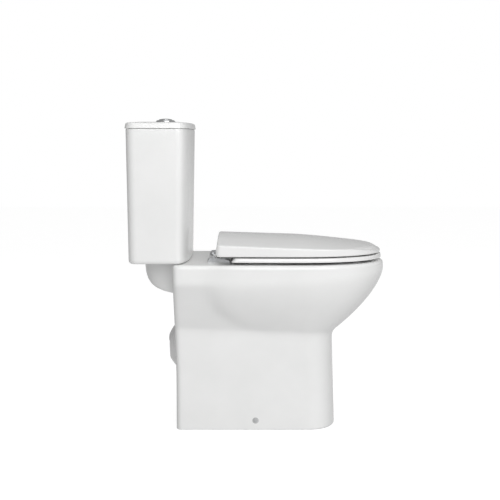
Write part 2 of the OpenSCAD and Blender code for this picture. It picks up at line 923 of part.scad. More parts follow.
module lid_dampers() {
  color("#54585d") damper_sleeve(lid_knuckle);
}

module hinge_studs() {
  color(steel)
  both_sides(post_y) translate([stud_x, 0, 0]) disc(4, deck - 52, deck + 3);
}

module hinge_cone_washers() {
  color(rubber)
  both_sides(post_y) translate([stud_x, 0, 0])
    difference() {
      union() {
        disc(12, deck - deck_thickness - 4, deck - deck_thickness);
        disc(6.7, deck - deck_thickness - 1, deck - deck_thickness + 8);
      }
      disc(4.2, deck - 40, deck);
    }
}

module hinge_wing_nuts() {
  color(moulded)
  both_sides(post_y) translate([stud_x, 0, 0])
    wing_nut(8, 4, deck - deck_thickness - 16, deck - deck_thickness - 4, 17);
}

// ---- Floor fixings ----

bracket_out = foot_w - 13;

module fixing_brackets() {
  color(moulded)
  for (side = [-1, 1])
    translate([fix_x, 0, 0])
      difference() {
        union() {
          translate([-22, side * bracket_out - (side > 0 ? 48 : 0), 0]) cube([44, 48, 5]);
          translate([-22, side * bracket_out - (side > 0 ? 7 : 0), 0]) cube([44, 7, 44]);
        }
        translate([0, side * bracket_hole_y, 0]) disc(3.5, -1, 6);
        translate([0, side * (bracket_out - 8), fix_z])
          rotate([-side * 90, 0, 0]) cylinder(h = 10, r = 2.5);
      }
}

module fixing_screws() {
  color(steel)
  for (side = [-1, 1])
    translate([fix_x, side * (bracket_out - 6), fix_z])
      rotate([-side * 90, 0, 0]) {
        cylinder(h = 11, r = 2.5);
        translate([0, 0, 10]) cylinder(h = 2.6, r = 4.6);
      }
}

module fixing_caps() {
  color("#c2c4c6")
  for (side = [-1, 1])
    translate([fix_x, side * (foot_w - 2.4), fix_z])
      rotate([-side * 90, 0, 0]) {
        intersection() {
          cylinder(h = 4, r = 7.7);
          translate([0, 0, 3.6 - 18]) sphere(r = 18);
        }
        translate([0, 0, -3]) cylinder(h = 4, r = 4.9);
      }
}

pan();
cistern_tank();
cistern_lid();
button_bezel();
button_backnut();
full_flush_button();
half_flush_button();
full_flush_rod();
half_flush_rod();
full_button_spring();
half_button_spring();
flush_valve_base();
flush_valve_tower();
flush_valve_washer();
flush_valve_backnut();
flush_piston();
flush_seal();
coupling_gasket();
cistern_bolts();
bolt_washers();
cistern_pads();
cistern_wing_nuts();
fill_valve_body();
fill_valve_washer();
fill_valve_backnut();
fill_valve_head();
fill_float();
fill_lever();
seat_ring();
seat_bumpers();
seat_lid();
lid_bumpers();
hinge_bases();
hinge_pins();
seat_dampers();
lid_dampers();
hinge_studs();
hinge_cone_washers();
hinge_wing_nuts();
fixing_brackets();
fixing_screws();
fixing_caps();
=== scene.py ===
"""Close coupled toilet: the looks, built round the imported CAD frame. Lengths here are millimetres."""

import json
import math

import bmesh
import bpy
import numpy as np
from mathutils import Matrix, Vector
from mathutils.bvhtree import BVHTree


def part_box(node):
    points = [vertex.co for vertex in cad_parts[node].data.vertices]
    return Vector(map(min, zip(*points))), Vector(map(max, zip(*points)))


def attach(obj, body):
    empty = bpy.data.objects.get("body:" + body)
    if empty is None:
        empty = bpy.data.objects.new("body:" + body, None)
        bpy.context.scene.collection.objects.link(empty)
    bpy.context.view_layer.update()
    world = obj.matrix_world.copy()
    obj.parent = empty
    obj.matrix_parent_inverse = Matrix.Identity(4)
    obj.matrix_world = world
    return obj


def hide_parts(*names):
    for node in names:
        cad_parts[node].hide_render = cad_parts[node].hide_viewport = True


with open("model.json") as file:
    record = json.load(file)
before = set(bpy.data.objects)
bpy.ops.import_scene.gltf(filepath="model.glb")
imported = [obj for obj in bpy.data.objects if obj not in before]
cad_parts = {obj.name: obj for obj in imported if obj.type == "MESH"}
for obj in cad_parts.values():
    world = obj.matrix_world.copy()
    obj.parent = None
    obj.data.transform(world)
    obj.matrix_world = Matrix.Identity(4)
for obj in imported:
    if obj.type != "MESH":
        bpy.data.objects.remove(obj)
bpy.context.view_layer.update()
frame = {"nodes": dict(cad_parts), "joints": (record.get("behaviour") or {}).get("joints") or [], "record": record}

MM = 0.001


def box_mm(node):
    low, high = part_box(node)
    return [c / MM for c in low], [c / MM for c in high]


def joint_pos(name):
    joint = next(j for j in frame["joints"] if j["name"] == name)
    return [c / MM for c in joint["pos_m"]]


# ---- Driving places, read from the frame ----

PAN_LOW, PAN_HIGH = box_mm("pan")
TANK_LOW, TANK_HIGH = box_mm("cistern_tank")
_, COVER_HIGH = box_mm("cistern_lid")
_, SEAT_HIGH = box_mm("seat_ring")
BEZEL_LOW, BEZEL_HIGH = box_mm("button_bezel")
CAP_LOW, CAP_HIGH = box_mm("fixing_caps")
STUD_LOW, STUD_HIGH = box_mm("hinge_studs")
_, BOLT_HIGH = box_mm("cistern_bolts")

FRONT = PAN_HIGH[0]
DECK = PAN_HIGH[2]
RIM_W = PAN_HIGH[1]
PAN_LENGTH = 500.5
DECK_BACK = FRONT - PAN_LENGTH
FOOT_W = 113
WAIST_W = FOOT_W - 5
WALL = 11
HINGE_X, _, HINGE_Z = joint_pos("seat_hinge")
VALVE_X = (BEZEL_LOW[0] + BEZEL_HIGH[0]) / 2
STUD_X = (STUD_LOW[0] + STUD_HIGH[0]) / 2
STUD_Y = STUD_HIGH[1] - 4
BOLT_Y = BOLT_HIGH[1] - 9
FIX_X = (CAP_LOW[0] + CAP_HIGH[0]) / 2
FIX_Z = (CAP_LOW[2] + CAP_HIGH[2]) / 2


# ---- Outlines and lofts ----

def smooth(t):
    t = np.clip(t, 0, 1)
    return t * t * (3 - 2 * t)


def even_steps(points, count):
    """The same curve with points at equal steps along it, both ends kept."""
    points = np.asarray(points, float)
    run = np.r_[0, np.cumsum(np.linalg.norm(np.diff(points, axis=0), axis=1))]
    want = np.linspace(0, run[-1], count + 1)
    return np.stack([np.interp(want, run, points[:, k]) for k in range(points.shape[1])], 1)


class Outline:
    """A D-shaped outline: straight rear edge, round rear corners, straight sides, curved front."""

    def __init__(self, rear, front, half, rear_half, corner, power, curve_x, bow=0.0):
        self.v = np.array([rear, front, half, rear_half, corner, power, curve_x, bow], float)

    def inset(self, d):
        rear, front, half, rear_half, corner, power, curve_x, bow = self.v
        return Outline(rear + d, front - d, half - d, rear_half - d, max(3, corner - d),
                       power, curve_x, bow)

    def mixed(self, other, t):
        return Outline(*(self.v + (other.v - self.v) * t))

    def points(self, counts=(44, 26, 8, 12)):
        rear, front, half, rear_half, corner, power, curve_x, bow = self.v
        a = np.linspace(0, math.pi / 2, 900)
        sy = np.sin(a) ** (2 / power)
        cx = np.clip(np.cos(a), 0, 1) ** (2 / power)
        curve = np.stack([curve_x + (front - curve_x) * cx - bow * sy * sy, half * sy], 1)
        t = np.linspace(0, 1, counts[1] + 1)
        side = np.stack([curve_x - bow + (rear + corner - curve_x + bow) * t,
                         half + (rear_half - half) * smooth(t)], 1)
        a = np.linspace(0, math.pi / 2, counts[2] + 1)
        bend = np.stack([rear + corner * (1 - np.sin(a)),
                         rear_half - corner * (1 - np.cos(a))], 1)
        t = np.linspace(0, 1, counts[3] + 1)
        edge = np.stack([np.full_like(t, rear), (rear_half - corner) * (1 - t)], 1)
        one = np.vstack([even_steps(curve, counts[0]), side[1:], bend[1:], edge[1:]])
        return np.vstack([one, one[-2:0:-1] * [1, -1]])


def ring(outline, z, counts=None):
    p = outline.points(counts) if counts else outline.points()
    return np.column_stack([p, np.full(len(p), float(z))])


def placed(name, data):
    """New object in the scene with this data."""
    obj = bpy.data.objects.new(name, data)
    bpy.context.scene.collection.objects.link(obj)
    return obj


def from_bmesh(name, bm):
    mesh = bpy.data.meshes.new(name)
    bm.to_mesh(mesh)
    bm.free()
    return placed(name, mesh)


def new_object(name, verts, faces, smooth_angle=40):
    mesh = bpy.data.meshes.new(name)
    mesh.from_pydata((np.asarray(verts, float) * MM).tolist(), [], faces)
    obj = placed(name, mesh)
    shade(obj, smooth_angle)
    return obj


def shade(obj, angle=40):
    obj.data.polygons.foreach_set("use_smooth", [True] * len(obj.data.polygons))
    if angle:
        obj.data.set_sharp_from_angle(angle=math.radians(angle))
    obj.data.update()


def loft_faces(m, n, loop=False):
    faces = []
    for i in range(m if loop else m - 1):
        a, b = i * n, ((i + 1) % m) * n
        faces += [(a + j, a + (j + 1) % n, b + (j + 1) % n, b + j) for j in range(n)]
    if not loop:
        faces.append(tuple(range(n - 1, -1, -1)))
        faces.append(tuple((m - 1) * n + j for j in range(n)))
    return faces


def loft(name, rings, loop=False, smooth_angle=40):
    """Closed mesh through rings of equal point counts, capped at both ends or closed on itself."""
    n = len(rings[0])
    return new_object(name, np.vstack(rings), loft_faces(len(rings), n, loop), smooth_angle)


def arc(radius, steps):
    """(inset, rise) pairs round the top outer edge of a section."""
    angles = [math.radians(90 * i / steps) for i in range(steps + 1)]
    return [(radius * (1 - math.cos(a)), radius * math.sin(a)) for a in angles]


def revolve(name, profile, origin, axis=(0, 0, 1), steps=72, smooth_angle=35, loop=False):
    """Closed turned piece: profile is (radius, height) pairs along axis from origin."""
    turn = Vector((0, 0, 1)).rotation_difference(Vector(axis)).to_matrix()
    rings = []
    for r, h in profile:
        a = np.linspace(0, 2 * math.pi, steps, endpoint=False)
        p = np.stack([np.cos(a) * max(r, 0.01), np.sin(a) * max(r, 0.01), np.full_like(a, h)], 1)
        rings.append(p @ np.array(turn).T + np.asarray(origin, float))
    return loft(name, rings, loop, smooth_angle)


def prism(name, points, low, high, place=None):
    """Closed prism on a polygon of the XY plane, moved by a 4 x 4 matrix in millimetres."""
    n = len(points)
    verts = np.array([(x, y, z) for z in (low, high) for x, y in points], float)
    if place is not None:
        verts = np.array([place @ Vector(v) for v in verts])
    return new_object(name, verts, loft_faces(2, n), 30)


def apply_modifier(obj, kind, **settings):
    modifier = obj.modifiers.new(kind, kind)
    for key, value in settings.items():
        setattr(modifier, key, value)
    done = bpy.data.meshes.new_from_object(
        obj.evaluated_get(bpy.context.evaluated_depsgraph_get()))
    obj.modifiers.clear()
    old, obj.data = obj.data, done
    bpy.data.meshes.remove(old)


def stretch(obj, axis, factor):
    """Scales a mesh along one axis about its own middle."""
    values = [v.co[axis] for v in obj.data.vertices]
    middle = (min(values) + max(values)) / 2
    for v in obj.data.vertices:
        v.co[axis] = middle + (v.co[axis] - middle) * factor


def discard(obj):
    mesh = obj.data
    bpy.data.objects.remove(obj)
    bpy.data.meshes.remove(mesh)


def duplicate(obj):
    return placed(obj.name + "_copy", obj.data.copy())


def boolean(obj, others, operation):
    for other in others:
        apply_modifier(obj, "BOOLEAN", object=other, operation=operation, solver="EXACT")


def merged(obj, others):
    boolean(obj, others, "UNION")
    for other in others:
        discard(other)


def drilled(obj, tools):
    boolean(obj, tools, "DIFFERENCE")
    for tool in tools:
        discard(tool)


def joined(name, parts):
    """One object with the meshes of all the parts."""
    bm = bmesh.new()
    for part in parts:
        bm.from_mesh(part.data)
    obj = from_bmesh(name, bm)
    for part in parts:
        discard(part)
    return obj


def capsule(name, a, b, r, steps=40):
    """Round-ended bar between two points of the plane Y = 0, given as (x, z)."""
    a, b = np.array(a, float), np.array(b, float)
    length = float(np.linalg.norm(b - a))
    ends = 10
    profile = [(r * math.sin(t), -r * math.cos(t)) for t in np.linspace(0.02, math.pi / 2, ends)]
    profile += [(r * math.cos(t), length + r * math.sin(t))
                for t in np.linspace(0, math.pi / 2 - 0.02, ends)]
    d = (b - a) / max(length, 1e-6)
    axis = (d[0], 0, d[1]) if length > 0 else (0, 0, 1)
    return revolve(name, profile, (a[0], 0, a[1]), axis, steps)


# ---- Pan ----

FOOT = Outline(DECK_BACK + 3, FRONT - 116, FOOT_W, FOOT_W, 14, 2.5, FRONT - 192)
WAIST = Outline(DECK_BACK - 0.5, FRONT - 123, WAIST_W, WAIST_W, 14, 2.5, FRONT - 196)
RIM = Outline(DECK_BACK, FRONT, RIM_W, RIM_W, 14, 2.3, FRONT - 212)
MOUTH = Outline(DECK_BACK + 134, FRONT - 42, RIM_W - 48, RIM_W - 74, 70, 2.2, FRONT - 224)
SUMP = Outline(DECK_BACK + 174, DECK_BACK + 258, 40, 36, 30, 2, DECK_BACK + 216)
BULGE_X = DECK_BACK + 82
BULGE_END_X = FRONT - 262
BULGE_TOP_Z = 340
BULGE_DROP = 106
BULGE_RUN = 60
BAND_REAR_W = RIM_W - 5.5
BAND_RUN = 118
CREASE_LOW_REAR, CREASE_LOW_FRONT = 241, 221
CREASE_HIGH_REAR, CREASE_HIGH_FRONT = DECK - 45, DECK - 23
FLARE_POWER = 1.44
BOWL_POWER = 2.1
BOWL_DEPTH = 190
EDGE_R = 9
MOUTH_Z = DECK - EDGE_R


def along_pan(x):
    return np.clip((x - DECK_BACK) / PAN_LENGTH, 0, 1)


def crease_low(x):
    return CREASE_LOW_REAR + (CREASE_LOW_FRONT - CREASE_LOW_REAR) * along_pan(x)


def crease_high(x):
    return CREASE_HIGH_REAR + (CREASE_HIGH_FRONT - CREASE_HIGH_REAR) * along_pan(x) ** 2


def band_width(x):
    """Half width of the upright band: flat beside the deck, then bowed out round the bowl."""
    t = np.clip((x - BULGE_X) / BAND_RUN, 0, 1)
    return BAND_REAR_W + (RIM_W - BAND_REAR_W) * (1 - (1 - t) ** 2)


def bulge_weight(x, z):
    """0 on the flat slope under the deck, rising to 1 on the round belly of the bowl."""
    drop = np.clip((BULGE_TOP_Z - z) / BULGE_DROP, 0, 1)
    edge = BULGE_END_X - (BULGE_END_X - BULGE_X) * np.sqrt(1 - drop ** 2)
    t = np.clip((x - edge) / BULGE_RUN, 0, 1)
    return 1 - (1 - t) ** 3


def flare_ring(u, wall=0.0):
    """Ring of the sloping part, from the column's top at u = 0 to the upright band at 1."""
    f = 1 - (1 - u) ** FLARE_POWER
    section = WAIST.mixed(RIM, f).inset(wall)
    p = section.points()
    x = p[:, 0]
    z = crease_low(x) + u * (crease_high(x) - crease_low(x))
    weight = bulge_weight(x, z)
    local = u + (f - u) * weight
    width = WAIST_W + (band_width(x) - WAIST_W) * local - wall
    scale = np.where(x < RIM.v[6] - 40, width / section.v[2], 1)
    blend = smooth((RIM.v[6] - x) / 60)
    p[:, 1] *= 1 + (scale - 1) * blend
    return np.column_stack([p, z])


def band_ring(inset, lift):
    """Ring of the upright band; lift runs from 0 at its lower crease to 1 at 10 mm below the deck."""
    p = RIM.inset(inset).points()
    x = p[:, 0]
    z = crease_high(x) + (DECK - 10 - crease_high(x)) * lift
    p[:, 1] *= (band_width(x) - inset) / (RIM_W - inset)
    return np.column_stack([p, z])


def edge_ring(inset, z):
    p = RIM.inset(inset).points()
    p[:, 1] *= (band_width(p[:, 0]) - inset) / (RIM_W - inset)
    return np.column_stack([p, np.full(len(p), float(z))])


def column_ring(v, wall=0.0):
    """Ring of the foot, from the floor at v = 0 to the lower crease at 1."""
    section = FOOT.mixed(WAIST, v).v.copy()
    section[0] = FOOT.v[0] + (WAIST.v[0] - FOOT.v[0]) * smooth((v - 0.5) * 2)
    p = Outline(*section).inset(wall).points()
    return np.column_stack([p, crease_low(p[:, 0]) * v])


def bowl_ring(t, wall=0.0):
    section = MOUTH.mixed(SUMP, t ** BOWL_POWER).inset(-wall)
    return ring(section, MOUTH_Z - BOWL_DEPTH * t - wall * t)


def softened(rings, rounds):
    """Rings smoothed across each other, ends kept, which rounds the creases between them."""
    stack = np.array(rings)
    for _ in range(rounds):
        stack[1:-1] = (stack[:-2] + 2 * stack[1:-1] + stack[2:]) / 4
        stack = (np.roll(stack, 1, 1) + 6 * stack + np.roll(stack, -1, 1)) / 8
    return list(stack)


def pan_shell():
    steps = np.linspace(0, 1, 31)
    inner = [bowl_ring(t, 10) for t in steps[:0:-2]]
    inner += [ring(MOUTH.inset(-10), DECK - 13), ring(RIM.inset(30), DECK - 13),
              ring(RIM.inset(WALL + 1.5), DECK - 14)]
    inner += [flare_ring(u, WALL + 2) for u in np.linspace(0.98, 0, 12)]
    inner += [column_ring(0.7, WALL), column_ring(0.35, WALL), ring(FOOT.inset(WALL), 0)]
    outer = [ring(FOOT.inset(2.2), 0), ring(FOOT.inset(0.7), 0.7), ring(FOOT, 2.4)]
    side = [column_ring(v) for v in np.linspace(0.02, 1, 30)]
    side += [flare_ring(u) for u in np.linspace(0, 1, 36)[1:]]
    side += [band_ring(0, lift) for lift in np.linspace(0, 1, 9)[1:]]
    outer += softened(side, 4)
    outer += [edge_ring(i, DECK - EDGE_R + h) for i, h in arc(EDGE_R, 7)[1:]]
    top = [edge_ring(16, DECK), ring(MOUTH.inset(-16), DECK)]
    lip = [ring(MOUTH.inset(EDGE_R * math.sin(a) - EDGE_R), MOUTH_Z + EDGE_R * math.cos(a))
           for a in np.linspace(0, math.pi / 2, 7)]
    bowl = [bowl_ring(t) for t in steps[1:]]
    return loft("pan_shell", inner + outer + top + lip + bowl)


PAN_VOXEL = 3.0
SETTLE_REACH, SETTLE_CLEAR = 2.5, 5.5
STUD_HOLE_R, BOLT_HOLE_R, SIDE_HOLE_R = 7, 5, 5
OPENING_HALF, OPENING_R, OPENING_SPRING_Z = 84, 30, 260
LEDGE_NOSE = PAN_LOW[0]
LEDGE_W = 92
SPIGOT_R = 51
SPIGOT_BORE = 28
SPIGOT_DOME = 60
SPIGOT_TILT = math.radians(4.5)
TRAP_SUMP = (DECK_BACK + 216, 158)
TRAP_WEIR = (DECK_BACK + 116, 224)
TRAP_DROP = (DECK_BACK + 68, 187)
OUTLET_REACH = 87
POCKET_SQUEEZE = 0.75
OUTLET_Z = 181
OUTLET_DIR = (-math.cos(SPIGOT_TILT), -math.sin(SPIGOT_TILT))
OUTLET_MOUTH = (TRAP_DROP[0] + OUTLET_REACH * OUTLET_DIR[0],
                OUTLET_Z)
DUCT_Z = DECK - 30


def cistern_ledge():
    """Round-nosed ledge behind the deck; its underside sweeps up to the nose."""
    heights = [322, 324, 327, 330, 333, 336, 340, 344, 350, 356, 364, 372, 384, 393, 397, 399.2, 400]
    reach = [80, 71, 58, 46, 37, 29, 22, 16.6, 11.8, 7.6, 4.8, 2.4, 1, 0.3, 1.2, 2.6, 4.5]
    rings = []
    for z, back in zip(heights, reach):
        rear = LEDGE_NOSE + back
        corner = max(8, 52 - 0.9 * back)
        half = LEDGE_W - max(0, (back - 30) / 12) - (1.6 if z == DECK else 0)
        rings.append(ring(Outline(rear, DECK_BACK + 14, half, half, corner, 12, DECK_BACK + 6), z,
                          (12, 8, 14, 10)))
    return loft("ledge", rings)


def rear_opening():
    """Arched cut through the rear wall of the foot, round the trap and its outlet."""
    half, r, z, flat = OPENING_HALF, OPENING_R, OPENING_SPRING_Z, OPENING_HALF - OPENING_R
    bend = np.linspace(0, math.pi / 2, 9)
    pts = [(-half, -5), (half, -5), (half, z - 25)]
    pts += [(flat + r * math.cos(a), z + r * math.sin(a)) for a in bend]
    pts += [(-flat - r * math.sin(a), z + r * math.cos(a)) for a in bend]
    pts += [(-half, z - 25)]
    place = Matrix(((0, 0, 1, 0), (1, 0, 0, 0), (0, 1, 0, 0), (0, 0, 0, 1)))
    return prism("rear_opening", pts, DECK_BACK - 20, DECK_BACK + 30, place)


def spigot():
    """Outlet with a bulbous lip, turned about its slightly falling axis."""
    rim = np.linspace(SPIGOT_BORE, SPIGOT_R - 0.8, 16)
    profile = [(20, 0)] + [(r, (r * r - SPIGOT_BORE ** 2) / 2 / SPIGOT_DOME) for r in rim]
    lip = (SPIGOT_R ** 2 - SPIGOT_BORE ** 2) / 2 / SPIGOT_DOME
    profile += [(SPIGOT_R - 0.2, lip), (SPIGOT_R, lip + 1.5), (SPIGOT_R, lip + 22),
                (SPIGOT_R, lip + 40), (SPIGOT_R - 3, lip + 46), (20, lip + 48)]
    axis = (-OUTLET_DIR[0], 0, -OUTLET_DIR[1])
    return revolve("spigot", profile, (OUTLET_MOUTH[0], 0, OUTLET_MOUTH[1]), axis, 96)


def along_outlet(distance):
    return (OUTLET_MOUTH[0] - OUTLET_DIR[0] * distance, OUTLET_MOUTH[1] - OUTLET_DIR[1] * distance)


def upright(name, x, y, r, low, high, steps=48):
    return revolve(name, [(r, 0), (r, high - low)], (x, y, low), (0, 0, 1), steps)


def settle(obj, targets, reach, clear):
    """Puts each vertex within reach of a target surface on it, except where another is near."""
    depsgraph = bpy.context.evaluated_depsgraph_get()
    trees = [BVHTree.FromObject(t, depsgraph) for t in targets]
    reach, clear = reach * MM, clear * MM
    for vertex in obj.data.vertices:
        best, nearest, second = None, clear, clear
        for tree in trees:
            place, _, _, distance = tree.find_nearest(vertex.co, clear)
            if place is None:
                continue
            if distance < nearest:
                best, nearest, second = place, distance, nearest
            elif distance < second:
                second = distance
        if best is not None and nearest < reach:
            vertex.co = vertex.co.lerp(best, max(0, (second - reach) / (clear - reach)))
    obj.data.update()


def make_pan(material):
    shell = pan_shell()
    ledge = cistern_ledge()
    opening = rear_opening()
    lip = spigot()
    trap = [capsule("trap_up", TRAP_SUMP, (TRAP_SUMP[0], 200), 38),
            capsule("trap_rise", TRAP_SUMP, TRAP_WEIR, 37.5),
            capsule("trap_fall", TRAP_WEIR, TRAP_DROP, 37.5),
            capsule("trap_out", TRAP_DROP, along_outlet(50), 37.5)]
    bores = [capsule("bore_up", TRAP_SUMP, (TRAP_SUMP[0], 235), 30),
             capsule("bore_rise", TRAP_SUMP, TRAP_WEIR, 29.5),
             capsule("bore_fall", TRAP_WEIR, TRAP_DROP, 29.5),
             capsule("bore_out", TRAP_DROP, along_outlet(40), 29.5),
             revolve("bore_mouth", [(SPIGOT_BORE, -20), (SPIGOT_BORE, 55), (26, 58)],
                     (OUTLET_MOUTH[0], 0, OUTLET_MOUTH[1]),
                     (-OUTLET_DIR[0], 0, -OUTLET_DIR[1]), 72)]
    duct_end = MOUTH.v[0]
    duct = revolve("duct", [(26, 0), (26, duct_end - 3 - DECK_BACK)], (DECK_BACK, 0, DUCT_Z),
                   (1, 0, 0), 48)
    duct_bore = revolve("duct_bore", [(17, 0), (17, duct_end + 14 - VALVE_X)],
                        (VALVE_X, 0, DUCT_Z - 1), (1, 0, 0), 48)
    inlet = upright("inlet", VALVE_X, 0, 42, DECK - 22, DECK + 5, 72)
    throat = upright("throat", VALVE_X, 0, 27, DECK - 40, DECK, 60)
    pockets = [upright("pocket", VALVE_X, side * BOLT_Y, 17, DECK - 90, DECK - 22)
               for side in (-1, 1)]
    for pocket in pockets:
        stretch(pocket, 1, POCKET_SQUEEZE)

    trap_solid = trap[0]
    boolean(trap_solid, trap[1:] + [lip], "UNION")
    bore_solid = bores[0]
    boolean(bore_solid, bores[1:], "UNION")
    boolean(trap_solid, [bore_solid], "DIFFERENCE")
    body = duplicate(shell)
    boolean(body, [opening, bore_solid, duct_bore], "DIFFERENCE")
    ledge_solid = duplicate(ledge)
    boolean(ledge_solid, [inlet, throat, duct_bore] + pockets, "DIFFERENCE")
    boolean(duct, [duct_bore], "DIFFERENCE")

    pan = joined("pan_ceramic", [body, trap_solid, ledge_solid, duct])
    apply_modifier(pan, "REMESH", mode="VOXEL", voxel_size=PAN_VOXEL * MM)
    apply_modifier(pan, "SMOOTH", factor=0.5, iterations=6)
    settle(pan, [shell, ledge, opening, lip], SETTLE_REACH, SETTLE_CLEAR)
    for side in (-1, 1):
        drilled(pan, [upright("stud_hole", STUD_X, side * STUD_Y, STUD_HOLE_R, DECK - 20, DECK + 5),
                      upright("bolt_hole", VALVE_X, side * BOLT_Y, BOLT_HOLE_R, DECK - 30, DECK + 5),
                      revolve("side_hole", [(SIDE_HOLE_R, 0), (SIDE_HOLE_R, 30)],
                              (FIX_X, side * (FOOT_W - 17), FIX_Z), (0, side, 0), 40)])
    for part in [shell, ledge, opening, lip, duct_bore, inlet, throat] + trap[1:] + bores + pockets:
        discard(part)
    shade(pan, 50)
    finish_piece(pan, "pan", "pan", material)


# ---- Small shapes ----

def rounded_box(name, low, high, radius, segments=3):
    """Block between two corners with all its edges rounded."""
    bm = bmesh.new()
    bmesh.ops.create_cube(bm, size=1)
    low, high = np.array(low, float), np.array(high, float)
    for v in bm.verts:
        v.co = Vector(((low + high) / 2 + np.array(v.co) * (high - low)) * MM)
    bmesh.ops.bevel(bm, geom=bm.edges[:], offset=radius * MM, segments=segments, profile=0.5,
                    affect="EDGES")
    return from_bmesh(name, bm)


def cross_bar(name, r, start, end, x, z, edge=1.0, steps=48):
    """Round bar along Y with rounded ends."""
    start, end = min(start, end), max(start, end)
    length = end - start
    profile = [(r - edge + edge * math.sin(a), edge * (1 - math.cos(a)))
               for a in np.linspace(0, math.pi / 2, 5)]
    profile += [(r - edge + edge * math.cos(a), length - edge + edge * math.sin(a))
                for a in np.linspace(0, math.pi / 2, 5)]
    return revolve(name, profile, (x, start, z), (0, 1, 0), steps)


def rounded_plate(name, x_low, x_high, y_mid, half, corner, rings):
    """Flat-lying plate with round corners; rings are (inset, height) pairs from below."""
    def outline(d):
        pts = []
        r = max(0.4, corner - d)
        for cx, cy, start in ((x_high - d - r, y_mid + half - d - r, 0),
                              (x_low + d + r, y_mid + half - d - r, 90),
                              (x_low + d + r, y_mid - half + d + r, 180),
                              (x_high - d - r, y_mid - half + d + r, 270)):
            for a in np.radians(np.linspace(start, start + 90, 9)):
                pts.append((cx + r * math.cos(a), cy + r * math.sin(a)))
        return pts
    return loft(name, [[(x, y, z) for x, y in outline(d)] for d, z in rings], smooth_angle=50)


# ---- Cistern ----

BACK = TANK_LOW[0] - 2
TANK_HALF = TANK_HIGH[1]
TANK_TOP = TANK_HIGH[2]
TANK_FLOOR = TANK_LOW[2]
TANK_WALL = 9
TANK_RIM_R = 2.2
TANK_FLOOR_R = 12
TANK = Outline(BACK + 2, BACK + 150, TANK_HALF, TANK_HALF, 20, 4, BACK + 122, 8)
TANK_BASE = Outline(BACK + 5, BACK + 145, TANK_HALF - 7, TANK_HALF - 7, 20, 4, BACK + 116, 8)
FILL_X, FILL_Y = VALVE_X - 6, 118


def make_tank(material):
    low, high = TANK_FLOOR + 12, TANK_TOP - 3
    rings = [ring(TANK_BASE.inset(22), TANK_FLOOR), ring(TANK_BASE.inset(16), TANK_FLOOR - 0.5),
             ring(TANK_BASE.inset(9), TANK_FLOOR - 0.7)]
    rings += [ring(TANK_BASE.inset(7.5 - 7.5 * math.sin(a)),
                   TANK_FLOOR - 0.7 + 10 * (1 - math.cos(a))) for a in np.linspace(0, math.pi / 2, 10)]
    rings += [ring(TANK_BASE.mixed(TANK, t), low + (high - low) * t) for t in np.linspace(0, 1, 14)]
    rings += [ring(TANK.inset(i), TANK_TOP - TANK_RIM_R + h) for i, h in arc(TANK_RIM_R, 4)[1:]]
    rings += [ring(TANK.inset(TANK_WALL - TANK_RIM_R), TANK_TOP),
              ring(TANK.inset(TANK_WALL - 0.6), TANK_TOP - 0.7),
              ring(TANK.inset(TANK_WALL), TANK_TOP - 2.4)]
    rings += [ring(TANK.mixed(TANK_BASE, t).inset(TANK_WALL), high - (high - low - 12) * t)
              for t in np.linspace(0.1, 1, 9)]
    rings += [ring(TANK_BASE.inset(TANK_WALL + TANK_FLOOR_R - TANK_FLOOR_R * math.cos(a)),
                   TANK_FLOOR + 10 + TANK_FLOOR_R * (1 - math.sin(a)))
              for a in np.linspace(0.15, math.pi / 2, 7)]
    tank = loft("cistern_ceramic", rings, smooth_angle=40)
    drilled(tank, [upright("bore", VALVE_X, 0, 25, TANK_FLOOR - 5, TANK_FLOOR + 15, 64)]
            + [upright("bore", VALVE_X, side * BOLT_Y, 5, TANK_FLOOR - 5, TANK_FLOOR + 15, 32)
               for side in (-1, 1)]
            + [upright("bore", FILL_X, FILL_Y, 11, TANK_FLOOR - 5, TANK_FLOOR + 15, 40)])
    shade(tank, 40)
    finish_piece(tank, "cistern_tank", "pan", material)


COVER_TOP = COVER_HIGH[2]
COVER = TANK.inset(-2.4)
COVER_SEAM = TANK_TOP + 0.6
COVER_CENTRE = BACK + 78


def shrunk(outline, k, z):
    """Ring at height z, drawn in to k of its size about the middle of the cistern cover."""
    p = outline.points()
    return np.column_stack([COVER_CENTRE + (p[:, 0] - COVER_CENTRE) * k, p[:, 1] * k,
                            np.full(len(p), float(z))])


def make_cover(material):
    lip = TANK.inset(TANK_WALL + 2.5)
    rings = [ring(lip.inset(16), COVER_TOP - 12), ring(lip.inset(9), COVER_TOP - 12.6),
             ring(lip.inset(7.2), COVER_TOP - 14.5), ring(lip.inset(7), TANK_TOP - 6.4),
             ring(lip.inset(6), TANK_TOP - 7), ring(lip.inset(1), TANK_TOP - 7),
             ring(lip, TANK_TOP - 6), ring(lip, COVER_SEAM - 0.8), ring(lip.inset(-0.8), COVER_SEAM),
             ring(COVER.inset(1.6), COVER_SEAM)]
    rings += [ring(COVER.inset(0.5), COVER_SEAM + 0.15), ring(COVER, COVER_SEAM + 0.8),
              ring(COVER.inset(0.2), COVER_SEAM + 1.8), ring(COVER.inset(0.6), COVER_SEAM + 3.4),
              ring(COVER.inset(0.95), COVER_TOP - 11.2), ring(COVER.inset(1.35), COVER_TOP - 9.4),
              ring(COVER.inset(1.65), COVER_TOP - 8)]
    rings += [ring(COVER.inset(1.85 + 7.1 * (1 - math.cos(a))), COVER_TOP - 6.8 + 4.3 * math.sin(a))
              for a in np.linspace(0, math.pi / 2, 12)]
    rings += [shrunk(COVER.inset(8.95), k, COVER_TOP - 2.5 * (max(0, k - 0.4) / 0.6) ** 2)
              for k in (0.97, 0.9, 0.82, 0.72, 0.6, 0.5, 0.4, 0.25, 0.08)]
    cover = loft("cistern_cover_ceramic", rings, smooth_angle=40)
    drilled(cover, [upright("bore", VALVE_X, 0, 19.5, COVER_TOP - 20, COVER_TOP + 2, 64)])
    shade(cover, 40)
    finish_piece(cover, "cistern_lid", "lid", material)


# ---- Flush buttons ----

